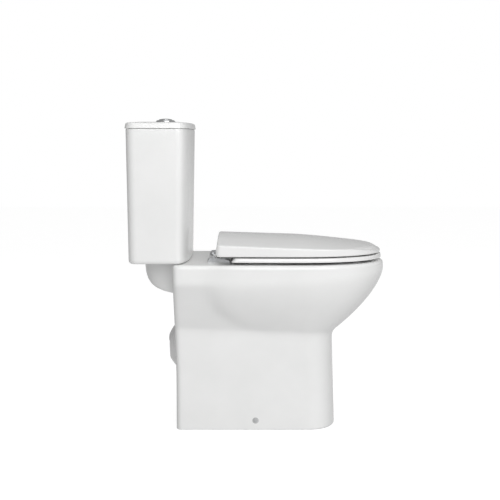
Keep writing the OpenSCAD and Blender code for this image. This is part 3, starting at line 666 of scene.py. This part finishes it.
BEZEL_R = 23.5
WELL_R = 16.6
THREAD_R, THREAD_ROOT_R = 19, 18.3
THREAD_PITCH = 2
SPLIT_Y = -3
SPLIT_GAP = 0.5
FULL_ROD_Y, HALF_ROD_Y = 7.5, -9.5


def make_buttons(chrome, plated):
    thread = []
    for k in range(14):
        z = -31 + THREAD_PITCH * k
        thread += [(THREAD_R, z), (THREAD_R, z + 0.6), (THREAD_ROOT_R, z + 1), (THREAD_ROOT_R, z + 1.6)]
    rim = [(THREAD_R, -1.2), (THREAD_R, 0), (BEZEL_R - 0.2, 0), (BEZEL_R, 0.2)]
    rim += [(BEZEL_R - 5.6 + 5.6 * math.cos(a), 0.4 + 5 * math.sin(a))
            for a in np.linspace(0.06, math.pi / 2, 14)]
    rim += [(WELL_R + 0.5, 5.2), (WELL_R + 0.12, 4.9), (WELL_R, 4.4), (WELL_R, -29.5),
            (WELL_R - 0.5, -30), (0.01, -30)]
    bezel = revolve("flush_bezel", [(0.01, -33), (18.4, -33), (THREAD_R, -32.4)] + thread + rim,
                    (VALVE_X, 0, COVER_TOP), steps=96, smooth_angle=30)
    drilled(bezel, [upright("bore", VALVE_X, y, 3.4, COVER_TOP - 36, COVER_TOP - 28, 24)
                    for y in (FULL_ROD_Y, HALF_ROD_Y)])
    shade(bezel, 30)
    finish_piece(bezel, "button_bezel", "lid", chrome)
    crown = 60
    plug_r = WELL_R - 0.35
    rows = [(plug_r, h) for h in (-12.6, -6, 0, 4, 6.3)]
    rows += [(r, 9 - crown + math.sqrt(crown ** 2 - r ** 2))
             for r in (plug_r - 0.35, 14, 11.5, 9, 6.5, 4, 2, 0.01)]
    for name, node, body, sign, rod_y in (
            ("full_flush_cap", "full_flush_button", "full_button", 1, FULL_ROD_Y),
            ("half_flush_cap", "half_flush_button", "half_button", -1, HALF_ROD_Y)):
        plug = revolve(name, [(0.01, -13), (plug_r - 0.4, -13)] + rows, (VALVE_X, 0, COVER_TOP),
                       steps=96)
        edge = SPLIT_Y + sign * SPLIT_GAP / 2
        far = 30 * sign
        cutter = rounded_box("cut", (VALVE_X - 30, min(edge, edge - far), COVER_TOP - 20),
                             (VALVE_X + 30, max(edge, edge - far), COVER_TOP + 20), 0.01, 1)
        rod = upright("bore", VALVE_X, rod_y, 2.5, COVER_TOP - 15, COVER_TOP - 6, 24)
        drilled(plug, [cutter, rod])
        bevel = plug.modifiers.new("edge", "BEVEL")
        bevel.width = 0.5 * MM
        bevel.segments = 3
        bevel.limit_method = "ANGLE"
        bevel.angle_limit = math.radians(50)
        shade(plug, 30)
        finish_piece(plug, node, body, plated)


# ---- Seat and seat lid ----

SEAT_LOW_Z = DECK + 6
SEAT_HALF = SEAT_HIGH[1]
SEAT = Outline(HINGE_X + 33, FRONT - 5.4, SEAT_HALF, SEAT_HALF - 4, 10, 2.3, FRONT - 216)
SEAT_HOLE = Outline(HINGE_X + 75, FRONT - 68, 116, 96, 74, 2.15, FRONT - 224)
LID = Outline(HINGE_X - 4, FRONT - 7.8, SEAT_HALF - 0.5, SEAT_HALF - 4, 10, 2.3, FRONT - 216)
LID_BOTTOM = DECK + 19
LID_EDGE_REAR = DECK + 44.5
LID_EDGE_FRONT = DECK + 32
LID_CROWN = 17
LID_SKIN = 4.5
LID_CENTRE = LID.v[6] - 20
POST_Y = 78
SEAT_KNUCKLE = (57, 73)
LID_KNUCKLE = (83, 99)
KNUCKLE_R = 8
SLEEVE_R = 5.5
BUMPERS = ((FRONT - 40, 62), (HINGE_X + 75, 142))


def slanted(outline, inset, height, z):
    """Ring of the seat whose rear end leans forward as it rises."""
    v = outline.inset(inset).v.copy()
    v[0] += -1.5 + 6 * height / 10
    return ring(Outline(*v), z)


def knuckle_neck(name, y_low, y_high):
    """Arm from the rear of the seat to its knuckle; ahead and below are from the hinge axis."""
    rings = []
    for ahead, below, thick, spread in ((57, 3.8, 7.4, 9), (51, 3.8, 7.8, 6), (43, 3.6, 8, 2.6),
                                        (31, 3.2, 8, 0.6), (17, 2.4, 8.4, 0), (7, 1.4, 9.6, 0),
                                        (0, 0.4, 11, 0)):
        half = (y_high - y_low) / 2 + spread
        middle = (y_low + y_high) / 2
        pts = []
        for a in np.linspace(0, 2 * math.pi, 28, endpoint=False):
            c, s = math.cos(a), math.sin(a)
            pts.append((HINGE_X + ahead, middle + half * math.copysign(abs(c) ** 0.4, c),
                        HINGE_Z - below + thick / 2 * math.copysign(abs(s) ** 0.4, s)))
        rings.append(pts)
    return loft(name, rings, smooth_angle=50)


def make_seat(material):
    side = [(2.4, 0), (1.3, 0.15), (0.5, 0.5), (0.1, 1.1), (0, 1.9), (0.35, 4.6), (0.75, 7.4),
            (1.05, 8.4), (1.6, 9.15), (2.5, 9.65), (3.8, 9.9), (6, 10), (16, 10.1)]
    rings = [slanted(SEAT, i, h, SEAT_LOW_Z + h) for i, h in side]
    inner = [(12, 10.0), (6, 9.9), (3, 9.5), (1.4, 8.6), (0.4, 7.2), (0, 5), (0.2, 2.6), (0.9, 0.9),
             (2.4, 0)]
    rings += [ring(SEAT_HOLE.inset(-i), SEAT_LOW_Z + h) for i, h in inner]
    seat = loft("seat_moulding", rings, loop=True, smooth_angle=60)
    parts = []
    for s in (-1, 1):
        low, high = sorted((s * SEAT_KNUCKLE[0], s * SEAT_KNUCKLE[1]))
        parts.append(knuckle_neck("neck", low + 0.2, high - 0.2))
        parts.append(cross_bar("knuckle", KNUCKLE_R, low, high, HINGE_X, HINGE_Z, 1.2))
    merged(seat, parts)
    drilled(seat, [cross_bar("bore", SLEEVE_R, s * (SEAT_KNUCKLE[0] - 2), s * (SEAT_KNUCKLE[1] + 2),
                             HINGE_X, HINGE_Z, 0.1, 32) for s in (-1, 1)])
    shade(seat, 42)
    finish_piece(seat, "seat_ring", "seat", material)


def lid_half_width(x):
    u = np.clip((x - LID.v[6]) / (LID.v[1] - LID.v[6]), 0, 1)
    return np.maximum(1, LID.v[2] * (1 - u ** LID.v[5]) ** (1 / LID.v[5]))


def lid_edge(x):
    return LID_EDGE_REAR + (LID_EDGE_FRONT - LID_EDGE_REAR) * (x - HINGE_X) / (FRONT - HINGE_X)


def lid_surface(x, y):
    u = np.clip((x - LID.v[6]) / (LID.v[1] - LID.v[6]), 0, 1)
    v = np.minimum(1, np.abs(y) / lid_half_width(x))
    return lid_edge(x) + LID_CROWN * (1 - u ** 1.4) * (1 - v * v)


def nose_drop(x, k):
    """Extra fall of the crown close to its front edge, where k is near 1."""
    return 6 * smooth((x - FRONT + 95) / 80) * np.clip((k - 0.93) / 0.07, 0, 1) ** 2


def crown_ring(outline, k, drop):
    """Ring of the lid's crown at k of the outline's size, drop below the surface."""
    p = outline.points()
    x = LID_CENTRE + (p[:, 0] - LID_CENTRE) * k
    y = p[:, 1] * k
    return np.column_stack([x, y, lid_surface(x, y) - nose_drop(x, k) - drop])


def skirt_ring(inset, rise, lean=0.0):
    """Ring at the lid's lower edge, lifted between the rear corners to clear the hinges."""
    v = LID.inset(inset).v.copy()
    v[0] += lean
    p = Outline(*v).points()
    notch = smooth((HINGE_X + 24 - p[:, 0]) / 14) * smooth((124 - np.abs(p[:, 1])) / 8)
    return np.column_stack([p, LID_BOTTOM + rise + 5.5 * notch * max(0, 1 - rise / 12)])


def wall_ring(t, lean):
    """Ring of the lid's side wall, from 3 mm above its lower edge to 3 mm under the ridge."""
    v = LID.v.copy()
    v[0] += lean
    p = Outline(*v).points()
    low = skirt_ring(0, 3)[:, 2]
    high = lid_surface(p[:, 0], p[:, 1]) - nose_drop(p[:, 0], 1) - 3
    return np.column_stack([p, low + (high - low) * t])


def make_lid(material):
    under = [crown_ring(LID.inset(LID_SKIN), k, LID_SKIN) for k in (0.08, 0.3, 0.55, 0.75, 0.88, 0.95)]
    under += [crown_ring(LID.inset(LID_SKIN), 0.985, LID_SKIN + 0.8),
              crown_ring(LID.inset(LID_SKIN), 1, LID_SKIN + 3.5)]
    under += [skirt_ring(LID_SKIN, 0.6), skirt_ring(LID_SKIN - 0.6, 0)]
    outer = [skirt_ring(2.4, 0, 1.4), skirt_ring(1.2, 0.3, 1.4), skirt_ring(0.4, 1.1, 1.6),
             skirt_ring(0.05, 2.2, 1.4)]
    outer += [wall_ring(t, lean) for t, lean in
              ((0.0, 1.2), (0.16, 0.4), (0.3, 0.0), (0.5, 0.5), (0.75, 1.4), (1, 2.4))]
    ridge = LID.v.copy()
    ridge[0] += 2.4
    ridge = Outline(*ridge)
    outer += [crown_ring(ridge.inset(1.7 * (1 - math.cos(a))), 1, 3 - 2.3 * math.sin(a))
              for a in np.linspace(0, math.pi / 2, 8)[1:]]
    outer += [crown_ring(ridge.inset(2.6), 1, 0.4), crown_ring(ridge.inset(3.8), 1, 0.14),
              crown_ring(ridge.inset(5.6), 1, 0.02)]
    outer += [crown_ring(ridge.inset(5.6), k, 0) for k in
              (0.985, 0.97, 0.955, 0.94, 0.92, 0.86, 0.78, 0.68, 0.56, 0.44, 0.32, 0.2, 0.08)]
    lid = loft("lid_moulding", under + outer, smooth_angle=50)
    parts = []
    for s in (-1, 1):
        low, high = sorted((s * LID_KNUCKLE[0], s * LID_KNUCKLE[1]))
        parts.append(cross_bar("knuckle", KNUCKLE_R, low, high, HINGE_X, HINGE_Z, 1.2))
        parts.append(rounded_box("neck", (HINGE_X - 3.4, low + 0.3, HINGE_Z),
                                 (HINGE_X + 7.4, high - 0.3, HINGE_Z + 27), 1.5))
        for x, y in BUMPERS:
            x, y = x - 6, s * (y + 10)
            top = float(lid_surface(x, y)) - 2.5
            parts.append(revolve("boss", [(0.01, 0), (6.6, 0), (7, 0.5), (7, top - LID_BOTTOM - 6),
                                          (8, top - LID_BOTTOM - 3), (10, top - LID_BOTTOM - 1.4),
                                          (10, top - LID_BOTTOM), (0.01, top - LID_BOTTOM)],
                                 (x, y, LID_BOTTOM), steps=32))
    merged(lid, parts)
    drilled(lid, [cross_bar("bore", SLEEVE_R, s * (LID_KNUCKLE[0] - 2), s * (LID_KNUCKLE[1] + 2),
                            HINGE_X, HINGE_Z, 0.1, 32) for s in (-1, 1)])
    shade(lid, 42)
    finish_piece(lid, "seat_lid", "seat_lid", material)


# ---- Seat hinges and caps ----

PLATE_REAR, PLATE_FRONT = STUD_X - 16, STUD_X + 36
CHEEK_Y = POST_Y + 23.5
CHEEK_W = 3
POST_W = 8
# The cheek's outline as (distance ahead of the stud, height above the deck)
CHEEK_SIDE = ((-14, 0), (-14, 6), (-13.2, 7.6), (-11.5, 8.5), (-9, 8.8), (19, 8.8), (23, 8.5),
              (26.5, 7.6), (29.5, 6.4), (32.5, 5.2), (35.5, 4), (37.5, 2.6), (38, 0))


def make_hinge_bases(chrome):
    parts = []
    for s in (-1, 1):
        y = s * POST_Y
        post_low, post_high = y - POST_W / 2, y + POST_W / 2
        plate = rounded_plate("plate", PLATE_REAR, PLATE_FRONT, y, 25, 12,
                              [(0.8, DECK), (0, DECK + 0.6), (0, DECK + 2), (0.5, DECK + 3),
                               (1.6, DECK + 3.7), (3.4, DECK + 4), (8, DECK + 4.1)])
        cover = rounded_plate("cover", STUD_X - 15, STUD_X + 0.5, y, 20, 6,
                              [(0, DECK + 2), (0.1, DECK + 4.4), (0.7, DECK + 5.8),
                               (1.9, DECK + 6.9), (3.6, DECK + 7.4), (5.4, DECK + 7.5)])
        post = rounded_box("post", (HINGE_X - 6, post_low, DECK + 2),
                           (HINGE_X + 6, post_high, HINGE_Z), 1.2)
        eye = cross_bar("eye", 7.5, post_low, post_high, HINGE_X, HINGE_Z, 1.0)
        web = rounded_box("web", (STUD_X - 4, post_low, DECK + 2),
                          (HINGE_X, post_high, DECK + 9.8), 1.4)
        cheek = prism("cheek", [(STUD_X + ahead, DECK + up) for ahead, up in CHEEK_SIDE],
                      s * CHEEK_Y - CHEEK_W / 2, s * CHEEK_Y + CHEEK_W / 2,
                      Matrix(((1, 0, 0, 0), (0, 0, 1, 0), (0, 1, 0, 0), (0, 0, 0, 1))))
        merged(plate, [cover, post, eye, web, cheek])
        drilled(plate, [cross_bar("bore", 4, y - 6, y + 6, HINGE_X, HINGE_Z, 0.1, 32)])
        parts.append(plate)
    bases = joined("hinge_covers", parts)
    shade(bases, 42)
    finish_piece(bases, "hinge_bases", "pan", chrome)


def make_caps(material):
    parts = []
    for s in (-1, 1):
        profile = [(0.01, -3), (4.4, -3), (4.9, -2.4), (4.9, -0.2), (7.3, -0.1), (7.7, 0.3),
                   (7.7, 1.3), (7.45, 1.9), (6.9, 2.2), (6.3, 2.2), (5.9, 1.7), (5.5, 2.3),
                   (4.6, 2.9), (3.2, 3.25), (1.6, 3.45), (0.01, 3.5)]
        parts.append(revolve("cap", profile, (FIX_X, s * (FOOT_W - 2.4), FIX_Z), (0, s, 0), 56))
    caps = joined("side_caps", parts)
    shade(caps, 40)
    finish_piece(caps, "fixing_caps", "pan", material)


# ---- Materials ----

def material_base(name):
    material = bpy.data.materials.new(name)
    material.use_nodes = True
    nodes, links = material.node_tree.nodes, material.node_tree.links
    shader = nodes["Principled BSDF"]
    place = nodes.new("ShaderNodeTexCoord")
    return material, nodes, links, shader, place.outputs["Object"]


def noise(nodes, links, place, scale, detail=4.0, roughness=0.5, stretch=None):
    """Noise texture on object coordinates; scale is in features a metre."""
    node = nodes.new("ShaderNodeTexNoise")
    node.inputs["Scale"].default_value = scale
    node.inputs["Detail"].default_value = detail
    node.inputs["Roughness"].default_value = roughness
    if stretch:
        mapping = nodes.new("ShaderNodeMapping")
        mapping.inputs["Scale"].default_value = stretch
        links.new(place, mapping.inputs["Vector"])
        place = mapping.outputs["Vector"]
    links.new(place, node.inputs["Vector"])
    return node.outputs["Fac"]


def ranged(nodes, links, value, low, high, start=0.3, end=0.7):
    node = nodes.new("ShaderNodeMapRange")
    node.inputs["From Min"].default_value = start
    node.inputs["From Max"].default_value = end
    node.inputs["To Min"].default_value = low
    node.inputs["To Max"].default_value = high
    links.new(value, node.inputs["Value"])
    return node.outputs["Result"]


def added(nodes, links, first, second):
    node = nodes.new("ShaderNodeMath")
    node.operation = "ADD"
    links.new(first, node.inputs[0])
    links.new(second, node.inputs[1])
    return node.outputs["Value"]


def tinted(nodes, links, value, dark, light, start=0.3, end=0.7):
    node = nodes.new("ShaderNodeValToRGB")
    node.color_ramp.elements[0].position = start
    node.color_ramp.elements[0].color = (*dark, 1)
    node.color_ramp.elements[1].position = end
    node.color_ramp.elements[1].color = (*light, 1)
    links.new(value, node.inputs["Fac"])
    return node.outputs["Color"]


def bumped(nodes, links, shader, layers):
    """Stacks bump layers, each (height, strength, distance in millimetres), onto the shader."""
    normal = None
    for height, strength, distance in layers:
        node = nodes.new("ShaderNodeBump")
        node.inputs["Strength"].default_value = strength
        node.inputs["Distance"].default_value = distance * MM
        links.new(height, node.inputs["Height"])
        if normal is not None:
            links.new(normal, node.inputs["Normal"])
        normal = node.outputs["Normal"]
    links.new(normal, shader.inputs["Normal"])


def glazed_ceramic():
    """White vitreous glaze: faint pooling of tone, tiny pinholes and a slow ripple in the gloss."""
    material, nodes, links, shader, place = material_base("glazed_ceramic")
    pooling = noise(nodes, links, place, 9, 5, 0.55)
    ripple = noise(nodes, links, place, 26, 2, 0.4)
    peel = noise(nodes, links, place, 420, 3, 0.5)
    links.new(tinted(nodes, links, pooling, (0.865, 0.868, 0.862), (0.905, 0.906, 0.902)),
              shader.inputs["Base Color"])
    links.new(ranged(nodes, links, peel, 0.17, 0.27), shader.inputs["Roughness"])
    shader.inputs["IOR"].default_value = 1.52
    shader.inputs["Coat Weight"].default_value = 0.16
    shader.inputs["Coat Roughness"].default_value = 0.12
    shader.inputs["Coat IOR"].default_value = 1.5
    bumped(nodes, links, shader, [(ripple, 0.35, 0.6), (peel, 0.12, 0.05)])
    return material


def moulded_plastic(name, dark, light, low, high, coat=0.0, grain=900):
    """Moulded plastic with slight flow marks and a fine surface grain."""
    material, nodes, links, shader, place = material_base(name)
    flow = noise(nodes, links, place, 14, 4, 0.5, (1, 0.35, 1))
    fine = noise(nodes, links, place, grain, 2, 0.6)
    links.new(tinted(nodes, links, flow, dark, light), shader.inputs["Base Color"])
    links.new(ranged(nodes, links, fine, low, high), shader.inputs["Roughness"])
    shader.inputs["IOR"].default_value = 1.5
    if coat:
        shader.inputs["Coat Weight"].default_value = coat
        shader.inputs["Coat Roughness"].default_value = 0.05
    bumped(nodes, links, shader, [(flow, 0.15, 0.25), (fine, 0.10, 0.02)])
    return material


def polished_metal(name, dark, light, low, high, scale=600, stretch=None):
    """Plated or brushed metal: micro scratches in the roughness and a faint tone change."""
    material, nodes, links, shader, place = material_base(name)
    cloud = noise(nodes, links, place, 40, 3, 0.5)
    scratch = noise(nodes, links, place, scale, 5, 0.7, stretch)
    links.new(tinted(nodes, links, cloud, dark, light), shader.inputs["Base Color"])
    links.new(ranged(nodes, links, scratch, low, high), shader.inputs["Roughness"])
    shader.inputs["Metallic"].default_value = 1.0
    bumped(nodes, links, shader, [(scratch, 0.08, 0.02)])
    return material


def soft_rubber(name, dark, light):
    material, nodes, links, shader, place = material_base(name)
    cloud = noise(nodes, links, place, 60, 4, 0.6)
    fine = noise(nodes, links, place, 1400, 2, 0.6)
    links.new(tinted(nodes, links, cloud, dark, light), shader.inputs["Base Color"])
    links.new(ranged(nodes, links, fine, 0.6, 0.8), shader.inputs["Roughness"])
    bumped(nodes, links, shader, [(fine, 0.3, 0.05)])
    return material


def finish_piece(obj, node, body, material):
    """Gives a piece its material, hides the CAD node it stands for and parents the piece to its body's empty."""
    obj.data.materials.clear()
    obj.data.materials.append(material)
    if node:
        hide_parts(node)
    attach(obj, body)


# ---- Studio ----

CAMERA_X = -18.4
CAMERA_Y = -2711
CAMERA_Z = 683
CAMERA_PITCH = 5.57
LENS = 80.4
FLOOR_Z = -0.5
FLOOR_REACH = 9000
FLOOR_GLOW = 0.86
GROUND_LIGHT = 0.67
WALL_LIGHT = 0.36
CEILING_LIGHT = 0.40
REAR_LIGHT = 0.06
LEFT_SHADE = 0.18
RIGHT_SHADE = 0.12


def add_camera():
    data = bpy.data.cameras.new("camera")
    data.lens = LENS
    data.sensor_width = 36
    camera = placed("camera", data)
    camera.location = Vector((CAMERA_X, CAMERA_Y, CAMERA_Z)) * MM
    camera.rotation_euler = (math.radians(90 - CAMERA_PITCH), 0, 0)
    bpy.context.scene.camera = camera


def add_softbox(name, place, aim, size, watts):
    """Rectangular lamp; its place, aim and size are in metres."""
    data = bpy.data.lights.new(name, "AREA")
    data.shape = "RECTANGLE"
    data.size, data.size_y = size
    data.energy = watts
    lamp = placed(name, data)
    lamp.location = Vector(place)
    lamp.rotation_euler = (Vector(aim) - Vector(place)).to_track_quat("-Z", "Y").to_euler()


def add_world(scene):
    """Grey room, lightest below; only the view straight past the object is white."""
    world = bpy.data.worlds.new("studio")
    scene.world = world
    world.use_nodes = True
    nodes, links = world.node_tree.nodes, world.node_tree.links
    place = nodes.new("ShaderNodeTexCoord")
    parts = nodes.new("ShaderNodeSeparateXYZ")
    links.new(place.outputs["Generated"], parts.inputs["Vector"])
    above = ranged(nodes, links, parts.outputs["Z"], 0, CEILING_LIGHT - WALL_LIGHT, 0.1, 0.7)
    below = ranged(nodes, links, parts.outputs["Z"], GROUND_LIGHT, WALL_LIGHT, -0.08, 0.0)
    behind = ranged(nodes, links, parts.outputs["Y"], 0, REAR_LIGHT, 0.5, 0.95)
    left = ranged(nodes, links, parts.outputs["X"], -LEFT_SHADE, 0, -0.8, -0.1)
    right = ranged(nodes, links, parts.outputs["X"], 0, -RIGHT_SHADE, 0.2, 0.9)
    total = added(nodes, links, added(nodes, links, above, below),
                  added(nodes, links, behind, added(nodes, links, left, right)))
    room = nodes["Background"]
    room.inputs["Color"].default_value = (1, 1, 1, 1)
    links.new(total, room.inputs["Strength"])
    backdrop = nodes.new("ShaderNodeBackground")
    backdrop.inputs["Color"].default_value = (1, 1, 1, 1)
    path = nodes.new("ShaderNodeLightPath")
    mix = nodes.new("ShaderNodeMixShader")
    links.new(path.outputs["Is Camera Ray"], mix.inputs["Fac"])
    links.new(room.outputs["Background"], mix.inputs[1])
    links.new(backdrop.outputs["Background"], mix.inputs[2])
    links.new(mix.outputs["Shader"], nodes["World Output"].inputs["Surface"])


def add_floor():
    corners = [(x * FLOOR_REACH, y * FLOOR_REACH, FLOOR_Z)
               for x, y in ((-1, -1), (1, -1), (1, 1), (-1, 1))]
    mesh = bpy.data.meshes.new("floor")
    mesh.from_pydata((np.array(corners) * MM).tolist(), [], [(0, 1, 2, 3)])
    floor = placed("floor", mesh)
    material, nodes, links, shader, place = material_base("floor")
    cloud = noise(nodes, links, place, 6, 3)
    links.new(tinted(nodes, links, cloud, (0.34, 0.34, 0.34), (0.36, 0.36, 0.36)),
              shader.inputs["Base Color"])
    shader.inputs["Roughness"].default_value = 0.9
    shader.inputs["Specular IOR Level"].default_value = 0.1
    shader.inputs["Emission Color"].default_value = (1, 1, 1, 1)
    shader.inputs["Emission Strength"].default_value = FLOOR_GLOW
    mesh.materials.append(material)
    floor.visible_diffuse = False
    floor.visible_glossy = False


def add_studio():
    scene = bpy.context.scene
    scene.view_settings.view_transform = "Standard"
    add_world(scene)
    add_floor()
    add_softbox("key", (0.9, -3.05, 1.95), (0, 0, 0.4), (3.0, 2.3), 81)
    add_softbox("top", (0.2, -0.6, 3.2), (0, 0, 0.4), (2.0, 2.0), 12)


# ---- Put together ----

FINISHES = {
    "ceramic": glazed_ceramic(),
    "seat_plastic": moulded_plastic("seat_plastic", (0.875, 0.875, 0.87), (0.90, 0.90, 0.895),
                                    0.16, 0.24, 0.35),
    "chrome": polished_metal("chrome", (0.70, 0.71, 0.72), (0.80, 0.81, 0.82), 0.05, 0.12),
    "chromed_plastic": polished_metal("chromed_plastic", (0.72, 0.73, 0.74), (0.82, 0.83, 0.84),
                                      0.06, 0.13),
    "steel": polished_metal("steel", (0.48, 0.48, 0.49), (0.60, 0.60, 0.61), 0.24, 0.42, 900,
                            (1, 1, 0.15)),
    "brass": polished_metal("brass", (0.60, 0.43, 0.17), (0.72, 0.55, 0.26), 0.22, 0.38),
    "rubber": soft_rubber("rubber", (0.018, 0.018, 0.019), (0.035, 0.035, 0.036)),
    "seal_rubber": soft_rubber("seal_rubber", (0.03, 0.03, 0.032), (0.06, 0.06, 0.062)),
    "valve_plastic": moulded_plastic("valve_plastic", (0.62, 0.65, 0.67), (0.72, 0.75, 0.77),
                                     0.3, 0.45),
    "valve_blue": moulded_plastic("valve_blue", (0.05, 0.14, 0.36), (0.08, 0.19, 0.45), 0.3, 0.45),
    "float_plastic": moulded_plastic("float_plastic", (0.06, 0.065, 0.07), (0.09, 0.095, 0.10),
                                     0.35, 0.5),
    "cap_plastic": moulded_plastic("cap_plastic", (0.44, 0.445, 0.45), (0.50, 0.505, 0.51),
                                   0.3, 0.45),
    "damper_plastic": moulded_plastic("damper_plastic", (0.08, 0.085, 0.09), (0.12, 0.125, 0.13),
                                      0.3, 0.45),
    "bumper_rubber": soft_rubber("bumper_rubber", (0.42, 0.43, 0.43), (0.52, 0.53, 0.53)),
}

satin = polished_metal("satin_chrome", (0.47, 0.48, 0.49), (0.55, 0.56, 0.57), 0.28, 0.40)

for subpart in frame["record"]["subparts"]:
    mesh = frame["nodes"][subpart["node"]].data
    mesh.materials.clear()
    mesh.materials.append(FINISHES[subpart["material_slot"]])

add_camera()
add_studio()
make_pan(FINISHES["ceramic"])
make_tank(FINISHES["ceramic"])
make_cover(FINISHES["ceramic"])
make_buttons(FINISHES["chrome"], FINISHES["chromed_plastic"])
make_seat(FINISHES["seat_plastic"])
make_lid(FINISHES["seat_plastic"])
make_hinge_bases(satin)
make_caps(FINISHES["cap_plastic"])
